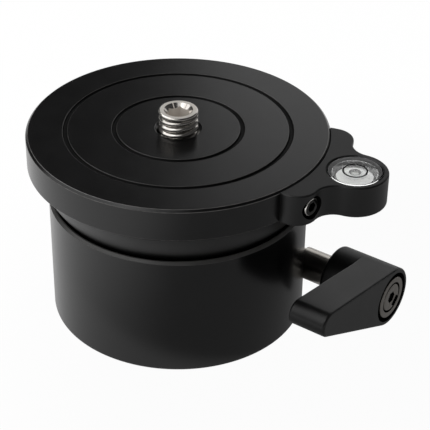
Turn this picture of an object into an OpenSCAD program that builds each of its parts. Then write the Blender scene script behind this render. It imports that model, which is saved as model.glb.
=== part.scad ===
// Leveling base for a tripod: a round plate on a half ball that tilts and turns in a cup,
// clamped by a ratchet lever and read on a bubble level. Millimetres, +Z up, +X along the lever's shaft,
// which passes beside the draw stem.
// The origin is the centre of the tripod face.

/* [Body] */
// Diameter of the housing
body_d = 63.5; // [61:0.5:66]
// Height of the housing, from the tripod face to its rim
body_h = 31.4; // [30.6:0.2:34]
// Width of the rim around the mouth of the cup
rim_wall = 0.95; // [0.8:0.05:1.4]
// Bevel on the outer edge of the rim
rim_bevel = 0.6; // [0.2:0.05:0.7]
// Bevel on the bottom edge
foot_bevel = 0.5; // [0.2:0.1:1.2]

/* [Ball joint] */
// Depth of the cup from the rim to its lowest point
cup_deep = 16.02; // [15:0.02:17]
// Gap between the half ball and the cup
cup_gap = 0.6; // [0.4:0.05:0.8]
// Gap between faces that slide on each other
slip = 0.15; // [0.08:0.01:0.2]
// Largest tilt of the plate, in degrees
tilt_max = 14; // [10:0.5:14]
// Thickness of the cup's floor
floor_t = 4.2; // [3.8:0.1:4.6]
// Wall of the half ball
bowl_wall = 5; // [3:0.25:7]
// Thickness of the half ball at its lowest point
bowl_base = 4; // [3:0.25:5]
// Thickness of the friction ring
ring_t = 1.8; // [1.2:0.1:2.2]
// Width of the friction ring along the cup
ring_w = 4.5; // [3:0.1:5]

/* [Draw stem] */
// Diameter of the stem
stem_d = 6; // [5:0.25:6.5]
// Clearance of the stem in its hole in the half ball, on the radius
stem_fit = 0.05; // [0.02:0.01:0.1]
// Free space round the stem at full tilt
swing_gap = 0.5; // [0.4:0.05:0.8]
// How far the mushroom head covers the floor past the swing hole
head_cover = 1.5; // [1.2:0.1:1.8]
// Thickness of the sliding pad
pad_t = 1.2; // [0.8:0.1:1.5]
// Thickness of the mushroom head
head_t = 1.8; // [1.4:0.1:2.2]
// Outer diameter of the disc springs
disc_d = 16; // [13:0.5:18]
// Thickness of one disc spring
disc_t = 0.8; // [0.5:0.1:1.2]
// Cone height of one disc spring
disc_rise = 0.5; // [0.3:0.1:0.8]
// Number of disc springs
disc_count = 3; // [1:1:4]
// Thickness of the flat washer
washer_t = 1.2; // [0.8:0.1:2]
// Width across flats of the lock nut
nut_af = 10; // [8:0.5:11]
// Height of the lock nut
nut_h = 5; // [4:0.5:6]

/* [Plate] */
// Overhang of the plate past the housing
plate_over = 4.75; // [4:0.25:8]
// Thickness of the plate
plate_t = 8.4; // [8:0.2:10]
// Height of the gap between the rim and the plate
plate_gap = 9; // [8.8:0.2:11]
// Bevel on the plate's edges
plate_bevel = 0.7; // [0.3:0.1:1]
// Diameter of the outer ring groove
groove_outer_d = 54.2; // [48:0.2:60]
// Diameter of the inner ring groove
groove_inner_d = 30.8; // [24:0.2:40]
// Width of a ring groove
groove_w = 1.2; // [0.8:0.1:1.8]
// Depth of a ring groove
groove_deep = 0.45; // [0.2:0.05:0.55]
// Height of the spigot that joins the half ball to the plate
spigot_h = 3; // [2:0.25:4]
// Wall of that spigot
spigot_wall = 2.6; // [2:0.1:3]

/* [Stud] */
// Thread diameter of the stud, 3/8 inch
stud_d = 9.525; // [8:0.1:12]
// Length of the stud above the plate
stud_out = 4.9; // [4:0.1:8]
// Depth of the relief turned into the stud where it leaves the plate
stud_relief = 0.6; // [0.3:0.1:1]
// Bevel on the stud's end
stud_bevel = 0.6; // [0.4:0.1:1.2]
// Width across flats of the stud's hex socket
socket_af = 5; // [4:0.25:5.5]
// Depth of that socket
socket_deep = 4.5; // [3:0.25:8]
// Diameter of that socket's bevelled mouth
socket_mouth_d = 6.8; // [6.2:0.1:7.4]
// Width of the countersink round the stud
stud_sink = 0.9; // [0.4:0.1:2]
// Width across flats of the thin nut under the plate
stud_nut_af = 14.3; // [13:0.1:18]
// Height of that nut
stud_nut_h = 5; // [4:0.5:7]
// Diameter of the boss under the plate
stud_boss_d = 20; // [18:0.5:26]

/* [Level arm] */
// Angle of the arm from the lever's shaft
arm_az = 11.6; // [0:0.2:40]
// Distance of the vial's axis past the plate's edge
arm_reach = 8.3; // [8:0.1:12]
// Radius of the arm's round head
arm_head_r = 7.85; // [7.6:0.05:9]
// Angle of each ear from the arm's own axis
ear_angle = 18.3; // [17.5:0.1:22]
// Radius of an ear
ear_r = 5; // [4.5:0.1:5.5]
// Radius of the hollow between ear and head
waist_r = 5; // [3.5:0.1:6]
// Step from the plate's top face down to the arm's
arm_drop = 0.3; // [0.1:0.05:0.8]
// Step from the plate's underside up to the arm's
arm_lift = 0.2; // [0.1:0.05:0.8]
// Thread diameter of an arm screw
arm_screw_d = 2.5; // [2:0.1:3]
// Head diameter of an arm screw
arm_cap_d = 4.5; // [3.8:0.1:5]
// Head height of an arm screw
arm_cap_h = 2.2; // [1.6:0.1:2.4]
// Length of an arm screw under its head
arm_screw_l = 7; // [5:0.5:9]
// Clearance round a screw head
cap_fit = 0.25; // [0.1:0.05:0.4]

/* [Vial] */
// Outer diameter of the vial
vial_d = 12.7; // [10:0.1:13.4]
// Height of the vial
vial_h = 6.2; // [5:0.1:6.4]
// Glue gap round the vial
vial_fit = 0.15; // [0.05:0.05:0.3]
// Side wall of the vial
vial_wall = 0.9; // [0.6:0.1:1.4]
// Thickness of the vial's top at its middle
lens_t = 1.2; // [0.8:0.1:1.6]
// Radius of the dome on the underside of that top
dome_r = 45; // [35:1:80]
// Thickness of the white disc
vial_base_t = 1; // [0.6:0.1:1.4]
// Diameter of the target ring
mark_d = 5.8; // [4.5:0.1:7]
// Width of the target ring's line
mark_w = 0.3; // [0.2:0.05:0.5]
// Depth of that line
mark_deep = 0.15; // [0.1:0.05:0.3]
// Diameter of the bubble
bubble_d = 2.6; // [2:0.1:4]
// Height of the bubble
bubble_h = 0.7; // [0.5:0.1:1]

/* [Base] */
// Diameter of the base plate
base_d = 53; // [50:0.5:55]
// Thickness of the base plate
base_t = 3; // [2.4:0.2:3.6]
// Diameter of the opening in the ledge that the base plate is screwed to
ledge_open_d = 38; // [36:0.5:39]
// Fit of the base plate in its recess, on the radius
base_fit = 0.1; // [0.05:0.01:0.2]
// Diameter of the boss round the tripod thread
base_boss_d = 19; // [16:0.5:24]
// Bore of the tripod thread, the tapping size for 3/8 inch
tripod_d = 7.94; // [6:0.02:9]
// Diameter of the threaded insert
insert_d = 12.4; // [11:0.2:14]
// Diameter of the insert's inner flange
insert_flange_d = 16.5; // [14.5:0.5:18]
// Thickness of that flange
insert_flange_t = 1.2; // [0.8:0.1:1.6]
// Gap between the insert and the swinging mushroom head
insert_gap = 0.6; // [0.4:0.05:1]
// Number of base screws
base_screws_n = 4; // [3:1:6]
// Diameter of the circle of base screws
base_screws_pcd = 45.6; // [44.5:0.1:46.4]
// Direction of the first base screw from the lever's shaft, in degrees
base_screws_turn = 30; // [20:1:35]
// Thread diameter of a base screw
base_screw_d = 3; // [2.5:0.1:3.5]
// Head diameter of a base screw
base_head_d = 5.6; // [5:0.1:6]
// Length of a base screw
base_screw_l = 7; // [6:0.5:7.5]

/* [Brake] */
// Distance of the shaft's axis from the body's axis
shaft_off = 18; // [17.5:0.1:18.5]
// Height of the shaft's axis above the tripod face
shaft_rise = 10.4; // [10:0.1:10.8]
// Clearance of the shaft in its bore, on the radius
shaft_fit = 0.08; // [0.05:0.01:0.12]
// Diameter of the brake pin
pin_d = 3.6; // [3:0.1:3.8]
// Clearance of the brake pin in its hole, on the radius
pin_fit = 0.08; // [0.05:0.01:0.12]
// Wall between the brake pin's hole and the side of the housing
pin_wall = 1.5; // [1.3:0.05:1.6]
// Diameter of the shaft's eccentric under the brake pin
cam_d = 4.8; // [4.2:0.1:5.2]
// Drop of the brake pin from clamped to free
pin_drop = 0.24; // [0.1:0.02:0.3]
// Turn of the lever from clamped to free, in degrees
lever_turn = 30; // [25:1:30]
// Length of the shaft's end journal, past the eccentric
journal_l = 3.6; // [3:0.1:3.8]
// Length of the shaft's other journal, between the eccentric and the thick part
neck_l = 2.4; // [2:0.1:2.8]
// Bevel on the end of that journal
journal_bevel = 0.4; // [0.2:0.1:0.6]

/* [Lever] */
// Diameter of the shaft's thick part, which shows between the housing and the lever
shaft_bare_d = 8; // [7.4:0.1:8.2]
// Diameter of the shaft in the housing and under the teeth
shaft_d = 6.7; // [6.2:0.1:7]
// Gap along the shaft between the housing and the nearest edge of the lever's boss
lever_gap = 5.2; // [4.6:0.1:8]
// Length of the lever's boss
boss_l = 16.6; // [15.5:0.1:20]
// Diameter of the lever's boss
boss_d = 15.2; // [15:0.1:17]
// Width of the lever's arm along the shaft
arm_w = 9.7; // [7:0.1:11]
// Distance from the shaft to the centre of the lever's tip
lever_l = 30.7; // [24:0.1:36]
// Diameter of the lever's tip
tip_d = 6.2; // [4:0.1:7]
// Rise of the lever's arm above level, in degrees
lever_angle = 18.2; // [0:0.2:25]
// Tip diameter of the teeth on the collar
spline_d = 9.8; // [9.4:0.1:10.4]
// Depth of the teeth
spline_deep = 0.6; // [0.4:0.05:0.8]
// Number of teeth
spline_teeth = 18; // [12:1:24]
// Clearance of the teeth
spline_fit = 0.12; // [0.08:0.01:0.2]
// Length of the teeth
spline_l = 3.7; // [3:0.1:4]
// Distance from the inner end of the boss to the teeth
spline_in = 1; // [0.6:0.1:2]
// Thickness of the wall between the teeth and the spring
web_t = 1.7; // [1.2:0.1:2]
// Diameter of the chamber for the spring and the end disc
chamber_d = 13; // [12.6:0.1:13.2]
// Diameter of the shaft's spigot inside the spring
spigot_d = 5.4; // [5:0.1:6]
// Diameter of the end disc
end_disc_d = 11.8; // [11.2:0.1:12.2]
// Thickness of the end disc
end_disc_t = 2.2; // [1.8:0.1:2.4]
// Depth of the end disc under the end of the boss
end_disc_in = 0.2; // [0:0.05:0.5]
// Width of a spanner slot in the end disc
spanner_w = 3; // [2:0.1:3.4]
// Depth of a spanner slot, outwards from the screw's counterbore
spanner_l = 1.2; // [0.8:0.1:1.6]
// Direction of the spanner slots, in degrees
spanner_turn = -42; // [-90:1:90]
// Head diameter of the lever's screw
lever_head_d = 6.2; // [5.8:0.1:7]
// Clearance round that head
lever_head_fit = 0.35; // [0.2:0.05:0.5]
// Head height of the lever's screw
lever_head_h = 1.3; // [1:0.1:1.4]
// Thread diameter of the lever's screw
lever_screw_d = 3; // [2.5:0.1:3.2]
// Length of the lever's screw under its head
lever_screw_l = 7; // [5:0.5:9]
// Width across flats of its hex socket
lever_hex_af = 2.5; // [2:0.1:3]
// Wire diameter of the spring
wire_d = 0.5; // [0.4:0.05:0.55]
// Coil diameter of the spring, wire centre to wire centre
coil_d = 8.6; // [8:0.1:9.6]
// Turns of the spring
coil_turns = 3.5; // [2.5:0.25:3.5]

/* [Hidden] */
$fn = 96;

// How far a cut runs past the face that it opens
past = 1;
// Seating gap between a turning piece and the face that it rests on
seat_gap = 0.05;

// Levels and radii of the main pieces
body_r = body_d / 2;
plate_r = body_r + plate_over;
plate_z0 = body_h + plate_gap;
plate_z1 = plate_z0 + plate_t;
mouth_r = body_r - rim_wall;
cup_r = (pow(mouth_r, 2) + pow(cup_deep, 2)) / (2 * cup_deep);
ball_z = body_h - cup_deep + cup_r;
ball_r = cup_r - cup_gap;
floor_r = cup_r + floor_t;

// Draw stem: the mushroom head and its pad lie on spheres round the ball's centre
stem_r = stem_d / 2;
swing_hole_r = floor_r * sin(tilt_max) + stem_r + swing_gap;
pad_r0 = floor_r + slip;
pad_r1 = pad_r0 + pad_t;
head_r1 = pad_r1 + head_t;
head_edge_r = swing_hole_r + head_cover;
head_angle = asin(head_edge_r / pad_r0);
// Angle left free past the mushroom head at full tilt
swing_spare = 0.6;
swing_angle = head_angle + tilt_max + swing_spare;
cavity_r = head_r1 * sin(swing_angle);
cavity_z1 = ball_z - floor_r * cos(swing_angle);
cavity_ball_r = head_r1 + insert_gap;

// Friction ring in the cup, by its angles from straight down
ring_r0 = ball_r + slip;
ring_r1 = ring_r0 + ring_t;
ring_a0 = asin(swing_hole_r / cup_r) + 2;
ring_a1 = ring_a0 + ring_w / cup_r * 180 / PI;
groove_play = slip / cup_r * 180 / PI;

// Half ball
bowl_z0 = ball_z - ball_r;
bowl_floor_z = bowl_z0 + bowl_base;
bowl_in_r = ball_r - bowl_wall;
bowl_bore_r = sqrt(pow(bowl_in_r, 2) - pow(ball_z - plate_z0, 2));
spigot_r = bowl_bore_r + spigot_wall;
spring_pocket_r = disc_d / 2 + 2.5;

// Stack on the draw stem
disc_step = disc_t + disc_rise;
stack_z0 = bowl_floor_z + seat_gap;
washer_z0 = stack_z0 + disc_count * disc_step;
nut_z0 = washer_z0 + washer_t;
stem_z1 = nut_z0 + nut_h + 1;

// Base: the ledge rises to the ball that the mushroom head sweeps
ledge_z1 = ball_z - sqrt(pow(cavity_ball_r, 2) - pow(ledge_open_d / 2, 2));
insert_z1 = ball_z - cavity_ball_r;
flange_z0 = insert_z1 - insert_flange_t;

// Brake: the pin stands on the shaft's eccentric, in the wall between the mushroom head and the outside
shaft_r = shaft_d / 2;
pin_hole_r = pin_d / 2 + pin_fit;
pin_at_r = body_r - pin_wall - pin_hole_r;
pin_x = sqrt(pow(pin_at_r, 2) - pow(shaft_off, 2));
pin_face_r = ball_r + slip;
cam_w = pin_d + 2 * slip;
cam_x0 = pin_x - cam_w / 2;
journal_x0 = cam_x0 - journal_l;
bare_x0 = cam_x0 + cam_w + neck_l;
bare_r = shaft_bare_d / 2;
cam_off = pin_drop / (2 * sin(lever_turn / 2));
cam_dir = 180 - lever_turn / 2;
pin_z0 = shaft_rise + cam_off * sin(cam_dir) + cam_d / 2 + seat_gap;

// Lever, by distances from the body's axis along the shaft
boss_r = boss_d / 2;
boss_x0 = sqrt(pow(body_r, 2) - pow(shaft_off - boss_r, 2)) + lever_gap;
boss_x1 = boss_x0 + boss_l;
spline_x0 = boss_x0 + spline_in;
spline_x1 = spline_x0 + spline_l;
web_x0 = spline_x1 + seat_gap;
web_x1 = web_x0 + web_t;
end_disc_x1 = boss_x1 - end_disc_in;
end_disc_x0 = end_disc_x1 - end_disc_t;
lever_dir = 180 - lever_angle;
// The arm's flanks run out of the boss just inside its round
arm_root_r = boss_r - 0.1;
lever_lean = acos((arm_root_r - tip_d / 2) / lever_l);

// Level arm
arm_z0 = plate_z0 + arm_lift;
arm_z1 = plate_z1 - arm_drop;
arm_mid_z = (plate_z0 + plate_z1) / 2;
vial_x = plate_r + arm_reach;
ear_x = plate_r + 0.45;
cap_x0 = ear_x + ear_r - arm_cap_h - 0.5;
vial_z1 = arm_z1 - 0.1;
vial_z0 = vial_z1 - vial_h;
vial_in_r = vial_d / 2 - vial_wall;
dome_z = vial_z1 - lens_t - dome_r;

// Points along an arc
function arc_points(centre, r, a0, a1, steps) =
    [for (i = [0:steps]) centre + r * [cos(a0 + (a1 - a0) * i / steps), sin(a0 + (a1 - a0) * i / steps)]];

// Outline of a wheel of straight-sided teeth
function tooth_points(r_root, r_tip, count, land) =
    [for (i = [0:count - 1], c = [[-1.5, r_root], [-0.7, r_tip], [0.7, r_tip], [1.5, r_root]])
        c[1] * [cos(360 * i / count + c[0] * land), sin(360 * i / count + c[0] * land)]];

// The side of a profile that is turned round the Z axis
module right_side() {
    translate([0, -past]) square([2 * plate_r, 2 * ball_z]);
}

// Section of a ball round the joint's centre
module ball_section(r) {
    translate([0, ball_z]) circle(r);
}

// Wedge between two angles from straight down, as seen from the joint's centre
module wedge_section(a0, a1) {
    reach = 2 * floor_r;
    translate([0, ball_z])
        polygon([[0, 0], reach * [sin(a0), -cos(a0)], reach * [sin(a1), -cos(a1)]]);
}

// Shell between two balls and two angles from straight down
module ball_shell(r0, r1, a0, a1) {
    rotate_extrude()
        intersection() {
            difference() {
                ball_section(r1);
                ball_section(r0);
            }
            wedge_section(a0, a1);
        }
}

// Puts children that run along Z on the lever's shaft instead, starting at x
module on_shaft(x) {
    translate([x, shaft_off, shaft_rise]) rotate([90, 0, 90]) children();
}

// Puts children on the axis of the level arm
module on_arm() {
    rotate([0, 0, arm_az]) children();
}

// Puts children that run along Z on the axes of the two arm screws, starting at a radius
module on_ears(x) {
    for (side = [-1, 1])
        rotate([0, 0, arm_az + side * ear_angle])
            translate([x, 0, arm_mid_z])
                rotate([90, 0, 90]) children();
}

// Puts children on the circle of base screws
module on_base_circle() {
    for (i = [0:base_screws_n - 1])
        rotate([0, 0, base_screws_turn + 360 * i / base_screws_n])
            translate([base_screws_pcd / 2, 0, 0]) children();
}

// Six-sided prism by its width across flats
module hex(af, h) {
    cylinder(d = af / cos(30), h = h, $fn = 6);
}

// Pipe with a straight bore
module pipe(r, bore_r, h) {
    difference() {
        cylinder(r = r, h = h);
        translate([0, 0, -past]) cylinder(r = bore_r, h = h + 2 * past);
    }
}

module housing_section() {
    difference() {
        polygon([[0, 0], [body_r - foot_bevel, 0], [body_r, foot_bevel], [body_r, body_h - rim_bevel],
                 [body_r - rim_bevel, body_h], [0, body_h]]);
        ball_section(cup_r);
        intersection() {
            ball_section(ring_r1 + slip);
            wedge_section(ring_a0 - groove_play, ring_a1 + groove_play);
        }
        square([swing_hole_r, body_h]);
        difference() {
            intersection() {
                ball_section(cavity_ball_r);
                square([cavity_r, cavity_z1]);
            }
            ball_section(floor_r);
        }
        square([ledge_open_d / 2, ledge_z1 + past]);
        translate([0, -past]) square([base_d / 2 + base_fit, base_t + past]);
    }
}

module housing() {
    color("#1d1d1f")
        difference() {
            rotate_extrude() housing_section();
            on_shaft(journal_x0 - slip) cylinder(r = shaft_r + shaft_fit, h = body_r - journal_x0 + past);
            on_shaft(bare_x0 - slip) cylinder(r = bare_r + shaft_fit, h = body_r - bare_x0 + past);
            translate([pin_x, shaft_off, shaft_rise]) cylinder(r = pin_hole_r, h = body_h - shaft_rise);
            on_base_circle() cylinder(d = base_screw_d, h = base_screw_l + past / 2);
        }
}

module base_plate() {
    color("#26262a")
        difference() {
            union() {
                cylinder(d = base_d, h = base_t);
                cylinder(d = base_boss_d, h = flange_z0);
            }
            translate([0, 0, -past]) cylinder(d = insert_d, h = flange_z0 + 2 * past);
            on_base_circle() base_screw_blank();
        }
}

module thread_insert() {
    color("#b9b6ae")
        rotate_extrude()
            difference() {
                union() {
                    square([insert_d / 2, insert_z1]);
                    translate([0, flange_z0]) square([insert_flange_d / 2, insert_flange_t]);
                }
                translate([0, -past]) square([tripod_d / 2, insert_z1 + 2 * past]);
            }
}

// Countersunk screw without its socket, head at the tripod face
module base_screw_blank() {
    head_h = (base_head_d - base_screw_d) / 2;
    rotate_extrude()
        polygon([[0, 0], [base_head_d / 2, 0], [base_screw_d / 2, head_h], [base_screw_d / 2, base_screw_l],
                 [0, base_screw_l]]);
}

module base_screws() {
    color("#3a3a3c")
        on_base_circle()
            difference() {
                base_screw_blank();
                translate([0, 0, -past]) hex(base_screw_d * 0.66, base_screw_d * 0.5 + past);
            }
}

module seat_ring() {
    color("#e4e0d4") ball_shell(ring_r0, ring_r1, ring_a0, ring_a1);
}

module bowl_section() {
    difference() {
        intersection() {
            right_side();
            union() {
                intersection() {
                    ball_section(ball_r);
                    square([2 * plate_r, plate_z0]);
                }
                translate([0, plate_z0 - past]) square([spigot_r, spigot_h + past]);
            }
        }
        ball_section(bowl_in_r);
        translate([0, plate_z0 - past]) square([bowl_bore_r, spigot_h + 2 * past]);
        translate([0, bowl_floor_z]) square([spring_pocket_r, bowl_wall + bowl_base]);
        square([stem_r + stem_fit, plate_z0]);
    }
}

module bowl() {
    color("#202022") rotate_extrude() bowl_section();
}

module draw_stem() {
    color("#9d9a93")
        rotate_extrude()
            union() {
                intersection() {
                    difference() {
                        ball_section(head_r1);
                        ball_section(pad_r1);
                    }
                    wedge_section(0, head_angle);
                }
                translate([0, ball_z - head_r1 + head_t / 2])
                    square([stem_r, stem_z1 - ball_z + head_r1 - head_t / 2]);
            }
}

module slide_pad() {
    color("#e4e0d4")
        difference() {
            ball_shell(pad_r0, pad_r1, 0, head_angle);
            translate([0, 0, ball_z - head_r1]) cylinder(r = stem_r + stem_fit, h = head_r1);
        }
}

// One conical spring; the even ones lie with their wide side down
module disc_spring(turned) {
    bore_r = stem_r + 2 * stem_fit;
    edge_z = turned ? disc_rise : 0;
    hole_z = turned ? 0 : disc_rise;
    rotate_extrude()
        polygon([[bore_r, hole_z], [disc_d / 2, edge_z], [disc_d / 2, edge_z + disc_t],
                 [bore_r, hole_z + disc_t]]);
}

module disc_springs() {
    color("#7f8285")
        for (i = [0:disc_count - 1])
            translate([0, 0, stack_z0 + i * disc_step]) disc_spring(i % 2 == 1);
}

module spring_washer() {
    color("#b5b3ad")
        translate([0, 0, washer_z0]) pipe(disc_d / 2 - 1, stem_r + 2 * stem_fit, washer_t);
}

module lock_nut() {
    color("#b5b3ad")
        translate([0, 0, nut_z0])
            difference() {
                hex(nut_af, nut_h);
                translate([0, 0, -past]) cylinder(r = stem_r, h = nut_h + 2 * past);
            }
}

// Round-bottomed groove in the plate's top face
module groove_section(d) {
    r = (pow(groove_w / 2, 2) + pow(groove_deep, 2)) / (2 * groove_deep);
    translate([d / 2, plate_z1 + r - groove_deep]) circle(r, $fn = 48);
}

module plate_section() {
    difference() {
        polygon([[0, plate_z0], [plate_r - plate_bevel, plate_z0], [plate_r, plate_z0 + plate_bevel],
                 [plate_r, plate_z1 - plate_bevel], [plate_r - plate_bevel, plate_z1], [0, plate_z1]]);
        groove_section(groove_outer_d);
        groove_section(groove_inner_d);
        difference() {
            translate([0, plate_z0 - past]) square([spigot_r, spigot_h + past]);
            translate([0, plate_z0 - past]) square([stud_boss_d / 2, spigot_h + 2 * past]);
        }
        square([stud_d / 2, plate_z1 + past]);
        polygon([[0, plate_z1 - stud_d / 2 - stud_sink], [stud_d / 2 + stud_sink, plate_z1],
                 [stud_d / 2 + stud_sink, plate_z1 + past], [0, plate_z1 + past]]);
    }
}

module top_plate() {
    color("#1d1d1f")
        difference() {
            rotate_extrude() plate_section();
            on_ears(cap_x0 - arm_screw_l) cylinder(d = arm_screw_d, h = arm_screw_l + past);
        }
}

module head_stud() {
    stud_r = stud_d / 2;
    relief_r = stud_r - stud_relief;
    stud_z0 = plate_z0 - stud_nut_h - 1;
    stud_z1 = plate_z1 + stud_out;
    relief_z0 = plate_z1 - stud_sink;
    relief_z1 = plate_z1 + stud_relief / 2;
    color("#c9c5bc")
        difference() {
            rotate_extrude()
                polygon([[0, stud_z0], [stud_r - stud_bevel, stud_z0], [stud_r, stud_z0 + stud_bevel],
                         [stud_r, relief_z0], [relief_r, relief_z0], [relief_r, relief_z1],
                         [stud_r, relief_z1], [stud_r, stud_z1 - stud_bevel],
                         [stud_r - stud_bevel, stud_z1], [0, stud_z1]]);
            translate([0, 0, stud_z1 - socket_deep]) hex(socket_af, socket_deep + past);
            translate([0, 0, stud_z1 - socket_mouth_d / 4])
                cylinder(d1 = 0, d2 = 2 * socket_mouth_d, h = socket_mouth_d / 2);
        }
}

module stud_nut() {
    color("#b5b3ad")
        translate([0, 0, plate_z0 - stud_nut_h])
            difference() {
                hex(stud_nut_af, stud_nut_h);
                translate([0, 0, -past]) cylinder(d = stud_d, h = stud_nut_h + 2 * past);
            }
}

// One half of the arm's outline, from the end of the ear to the tip of the head: the ear, the hollow waist
// that touches the ear and the head from outside, and the head
function arm_half() =
    let (head_c = [vial_x, 0],
         ear_c = ear_x * [cos(ear_angle), sin(ear_angle)],
         span = ear_c - head_c,
         gap = norm(span),
         along = (pow(arm_head_r + waist_r, 2) - pow(ear_r + waist_r, 2) + gap * gap) / (2 * gap),
         aside = sqrt(pow(arm_head_r + waist_r, 2) - along * along),
         waist_c = head_c + along / gap * span + aside / gap * [span[1], -span[0]],
         to_ear = ear_c - waist_c,
         to_head = head_c - waist_c,
         ear_turn = atan2(to_ear[1], to_ear[0]),
         head_turn = atan2(to_head[1], to_head[0]))
    concat(arc_points(ear_c, ear_r, ear_angle + 150, ear_turn + 180, 16),
           arc_points(waist_c, waist_r, (ear_turn + 360) % 360, (head_turn + 360) % 360, 10),
           arc_points(head_c, arm_head_r, head_turn + 180, 0, 14));

module level_arm() {
    upper = arm_half();
    lower = [for (i = [len(upper) - 2:-1:0]) [upper[i][0], -upper[i][1]]];
    color("#1f1f21")
        difference() {
            on_arm()
                translate([0, 0, arm_z0])
                    linear_extrude(arm_z1 - arm_z0) polygon(concat(upper, lower));
            translate([0, 0, plate_z0 - past]) cylinder(r = plate_r, h = plate_t + 2 * past);
            on_arm()
                translate([vial_x, 0, vial_z0]) cylinder(r = vial_d / 2 + vial_fit, h = vial_h + past);
            on_ears(plate_r - past) cylinder(d = arm_screw_d, h = ear_r);
            on_ears(cap_x0) cylinder(r = arm_cap_d / 2 + cap_fit, h = 2 * ear_r);
        }
}

module level_screws() {
    color("#b9b6ae")
        difference() {
            union() {
                on_ears(cap_x0 - arm_screw_l) cylinder(d = arm_screw_d, h = arm_screw_l + past / 2);
                on_ears(cap_x0) cylinder(d = arm_cap_d, h = arm_cap_h);
            }
            on_ears(cap_x0 + arm_cap_h / 2) hex(arm_screw_d * 0.8, arm_cap_h);
        }
}

// Puts a turned profile on the vial's axis
module on_vial() {
    on_arm() translate([vial_x, 0, 0]) rotate_extrude() children();
}

// Inside of the vial above its white disc, under the domed top
module vial_space() {
    intersection() {
        translate([0, vial_z0 + vial_base_t]) square([vial_in_r, vial_h]);
        translate([0, dome_z]) circle(dome_r, $fn = 360);
    }
}

// Section of the bubble, a lens against the domed top
module bubble_section() {
    r = (pow(bubble_d / 2, 2) + pow(bubble_h, 2)) / (2 * bubble_h);
    intersection() {
        vial_space();
        translate([0, dome_z + dome_r - bubble_h + r]) circle(r);
    }
}

module mark_section() {
    translate([mark_d / 2 - mark_w, vial_z1 - mark_deep]) square([mark_w, mark_deep]);
}

module vial_case() {
    color([0.9, 0.95, 0.95, 0.5])
        on_vial()
            difference() {
                translate([0, vial_z0]) square([vial_d / 2, vial_h]);
                translate([0, vial_z0 - past]) square([vial_in_r, vial_base_t + 2 * past]);
                vial_space();
                mark_section();
            }
}

module vial_base() {
    color("#f2f2ee")
        on_vial() translate([0, vial_z0]) square([vial_in_r, vial_base_t]);
}

module vial_liquid() {
    color([0.93, 0.96, 0.93, 0.4])
        on_vial()
            difference() {
                vial_space();
                bubble_section();
            }
}

module vial_bubble() {
    color([1, 1, 1, 0.6]) on_vial() bubble_section();
}

module vial_mark() {
    color("#111111") on_vial() mark_section();
}

module brake_pin() {
    color("#caa45a")
        difference() {
            translate([pin_x, shaft_off, pin_z0]) cylinder(d = pin_d, h = body_h - pin_z0);
            translate([0, 0, ball_z]) sphere(pin_face_r, $fn = 180);
        }
}

// Takes the shaft down to its eccentric, as far as the brake pin is wide
module cam_cut() {
    difference() {
        cylinder(r = shaft_r + past, h = cam_w);
        translate([cam_off * cos(cam_dir), cam_off * sin(cam_dir), -past])
            cylinder(d = cam_d, h = cam_w + 2 * past);
    }
}

module clamp_shaft() {
    hole_x = end_disc_x1 - lever_head_h - lever_screw_l;
    color("#c9c5bc")
        difference() {
            on_shaft(0)
                rotate_extrude()
                    polygon([[0, journal_x0], [shaft_r - journal_bevel, journal_x0],
                             [shaft_r, journal_x0 + journal_bevel], [shaft_r, bare_x0], [bare_r, bare_x0],
                             [bare_r, spline_x0], [shaft_r, spline_x0], [shaft_r, spline_x1],
                             [spigot_d / 2, spline_x1], [spigot_d / 2, end_disc_x0],
                             [lever_screw_d / 2, end_disc_x0], [lever_screw_d / 2, hole_x], [0, hole_x]]);
            on_shaft(cam_x0) cam_cut();
        }
}

module spline_collar() {
    color("#8d8a84")
        on_shaft(spline_x0)
            difference() {
                linear_extrude(spline_l)
                    polygon(tooth_points(spline_d / 2 - spline_deep, spline_d / 2, spline_teeth,
                                         90 / spline_teeth));
                translate([0, 0, -past]) cylinder(d = shaft_d, h = spline_l + 2 * past);
            }
}

module lever_outline() {
    tip_c = lever_l * [cos(lever_dir), sin(lever_dir)];
    polygon(concat(arc_points([0, 0], arm_root_r, lever_dir + lever_lean, lever_dir - lever_lean + 360, 12),
                   arc_points(tip_c, tip_d / 2, lever_dir - lever_lean, lever_dir + lever_lean, 16)));
}

module lever_handle() {
    color("#1f1f21")
        difference() {
            union() {
                on_shaft(boss_x0) cylinder(r = boss_r, h = boss_l);
                on_shaft(boss_x1 - arm_w) linear_extrude(arm_w) lever_outline();
            }
            on_shaft(boss_x0 - past) cylinder(r = spline_d / 2 + 2 * spline_fit, h = spline_in + past);
            on_shaft(spline_x0 - past / 2)
                linear_extrude(web_x0 - spline_x0 + past / 2)
                    polygon(tooth_points(spline_d / 2 - spline_deep + spline_fit, spline_d / 2 + spline_fit,
                                         spline_teeth, 90 / spline_teeth * (1 + spline_fit)));
            on_shaft(web_x0 - past / 2) cylinder(r = spigot_d / 2 + spline_fit, h = web_t + past);
            on_shaft(web_x1) cylinder(d = chamber_d, h = boss_x1 - web_x1 + past);
        }
}

// Points of the spring's wire, one ring for each step along the helix
function coil_ring(i, steps, sides, length) =
    let (turn = 360 * coil_turns * i / steps,
         rise = wire_d / 2 + (length - wire_d) * i / steps)
    [for (k = [0:sides - 1])
        let (out = coil_d / 2 + wire_d / 2 * cos(360 * k / sides))
        [out * cos(turn), out * sin(turn), rise + wire_d / 2 * sin(360 * k / sides)]];

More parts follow.
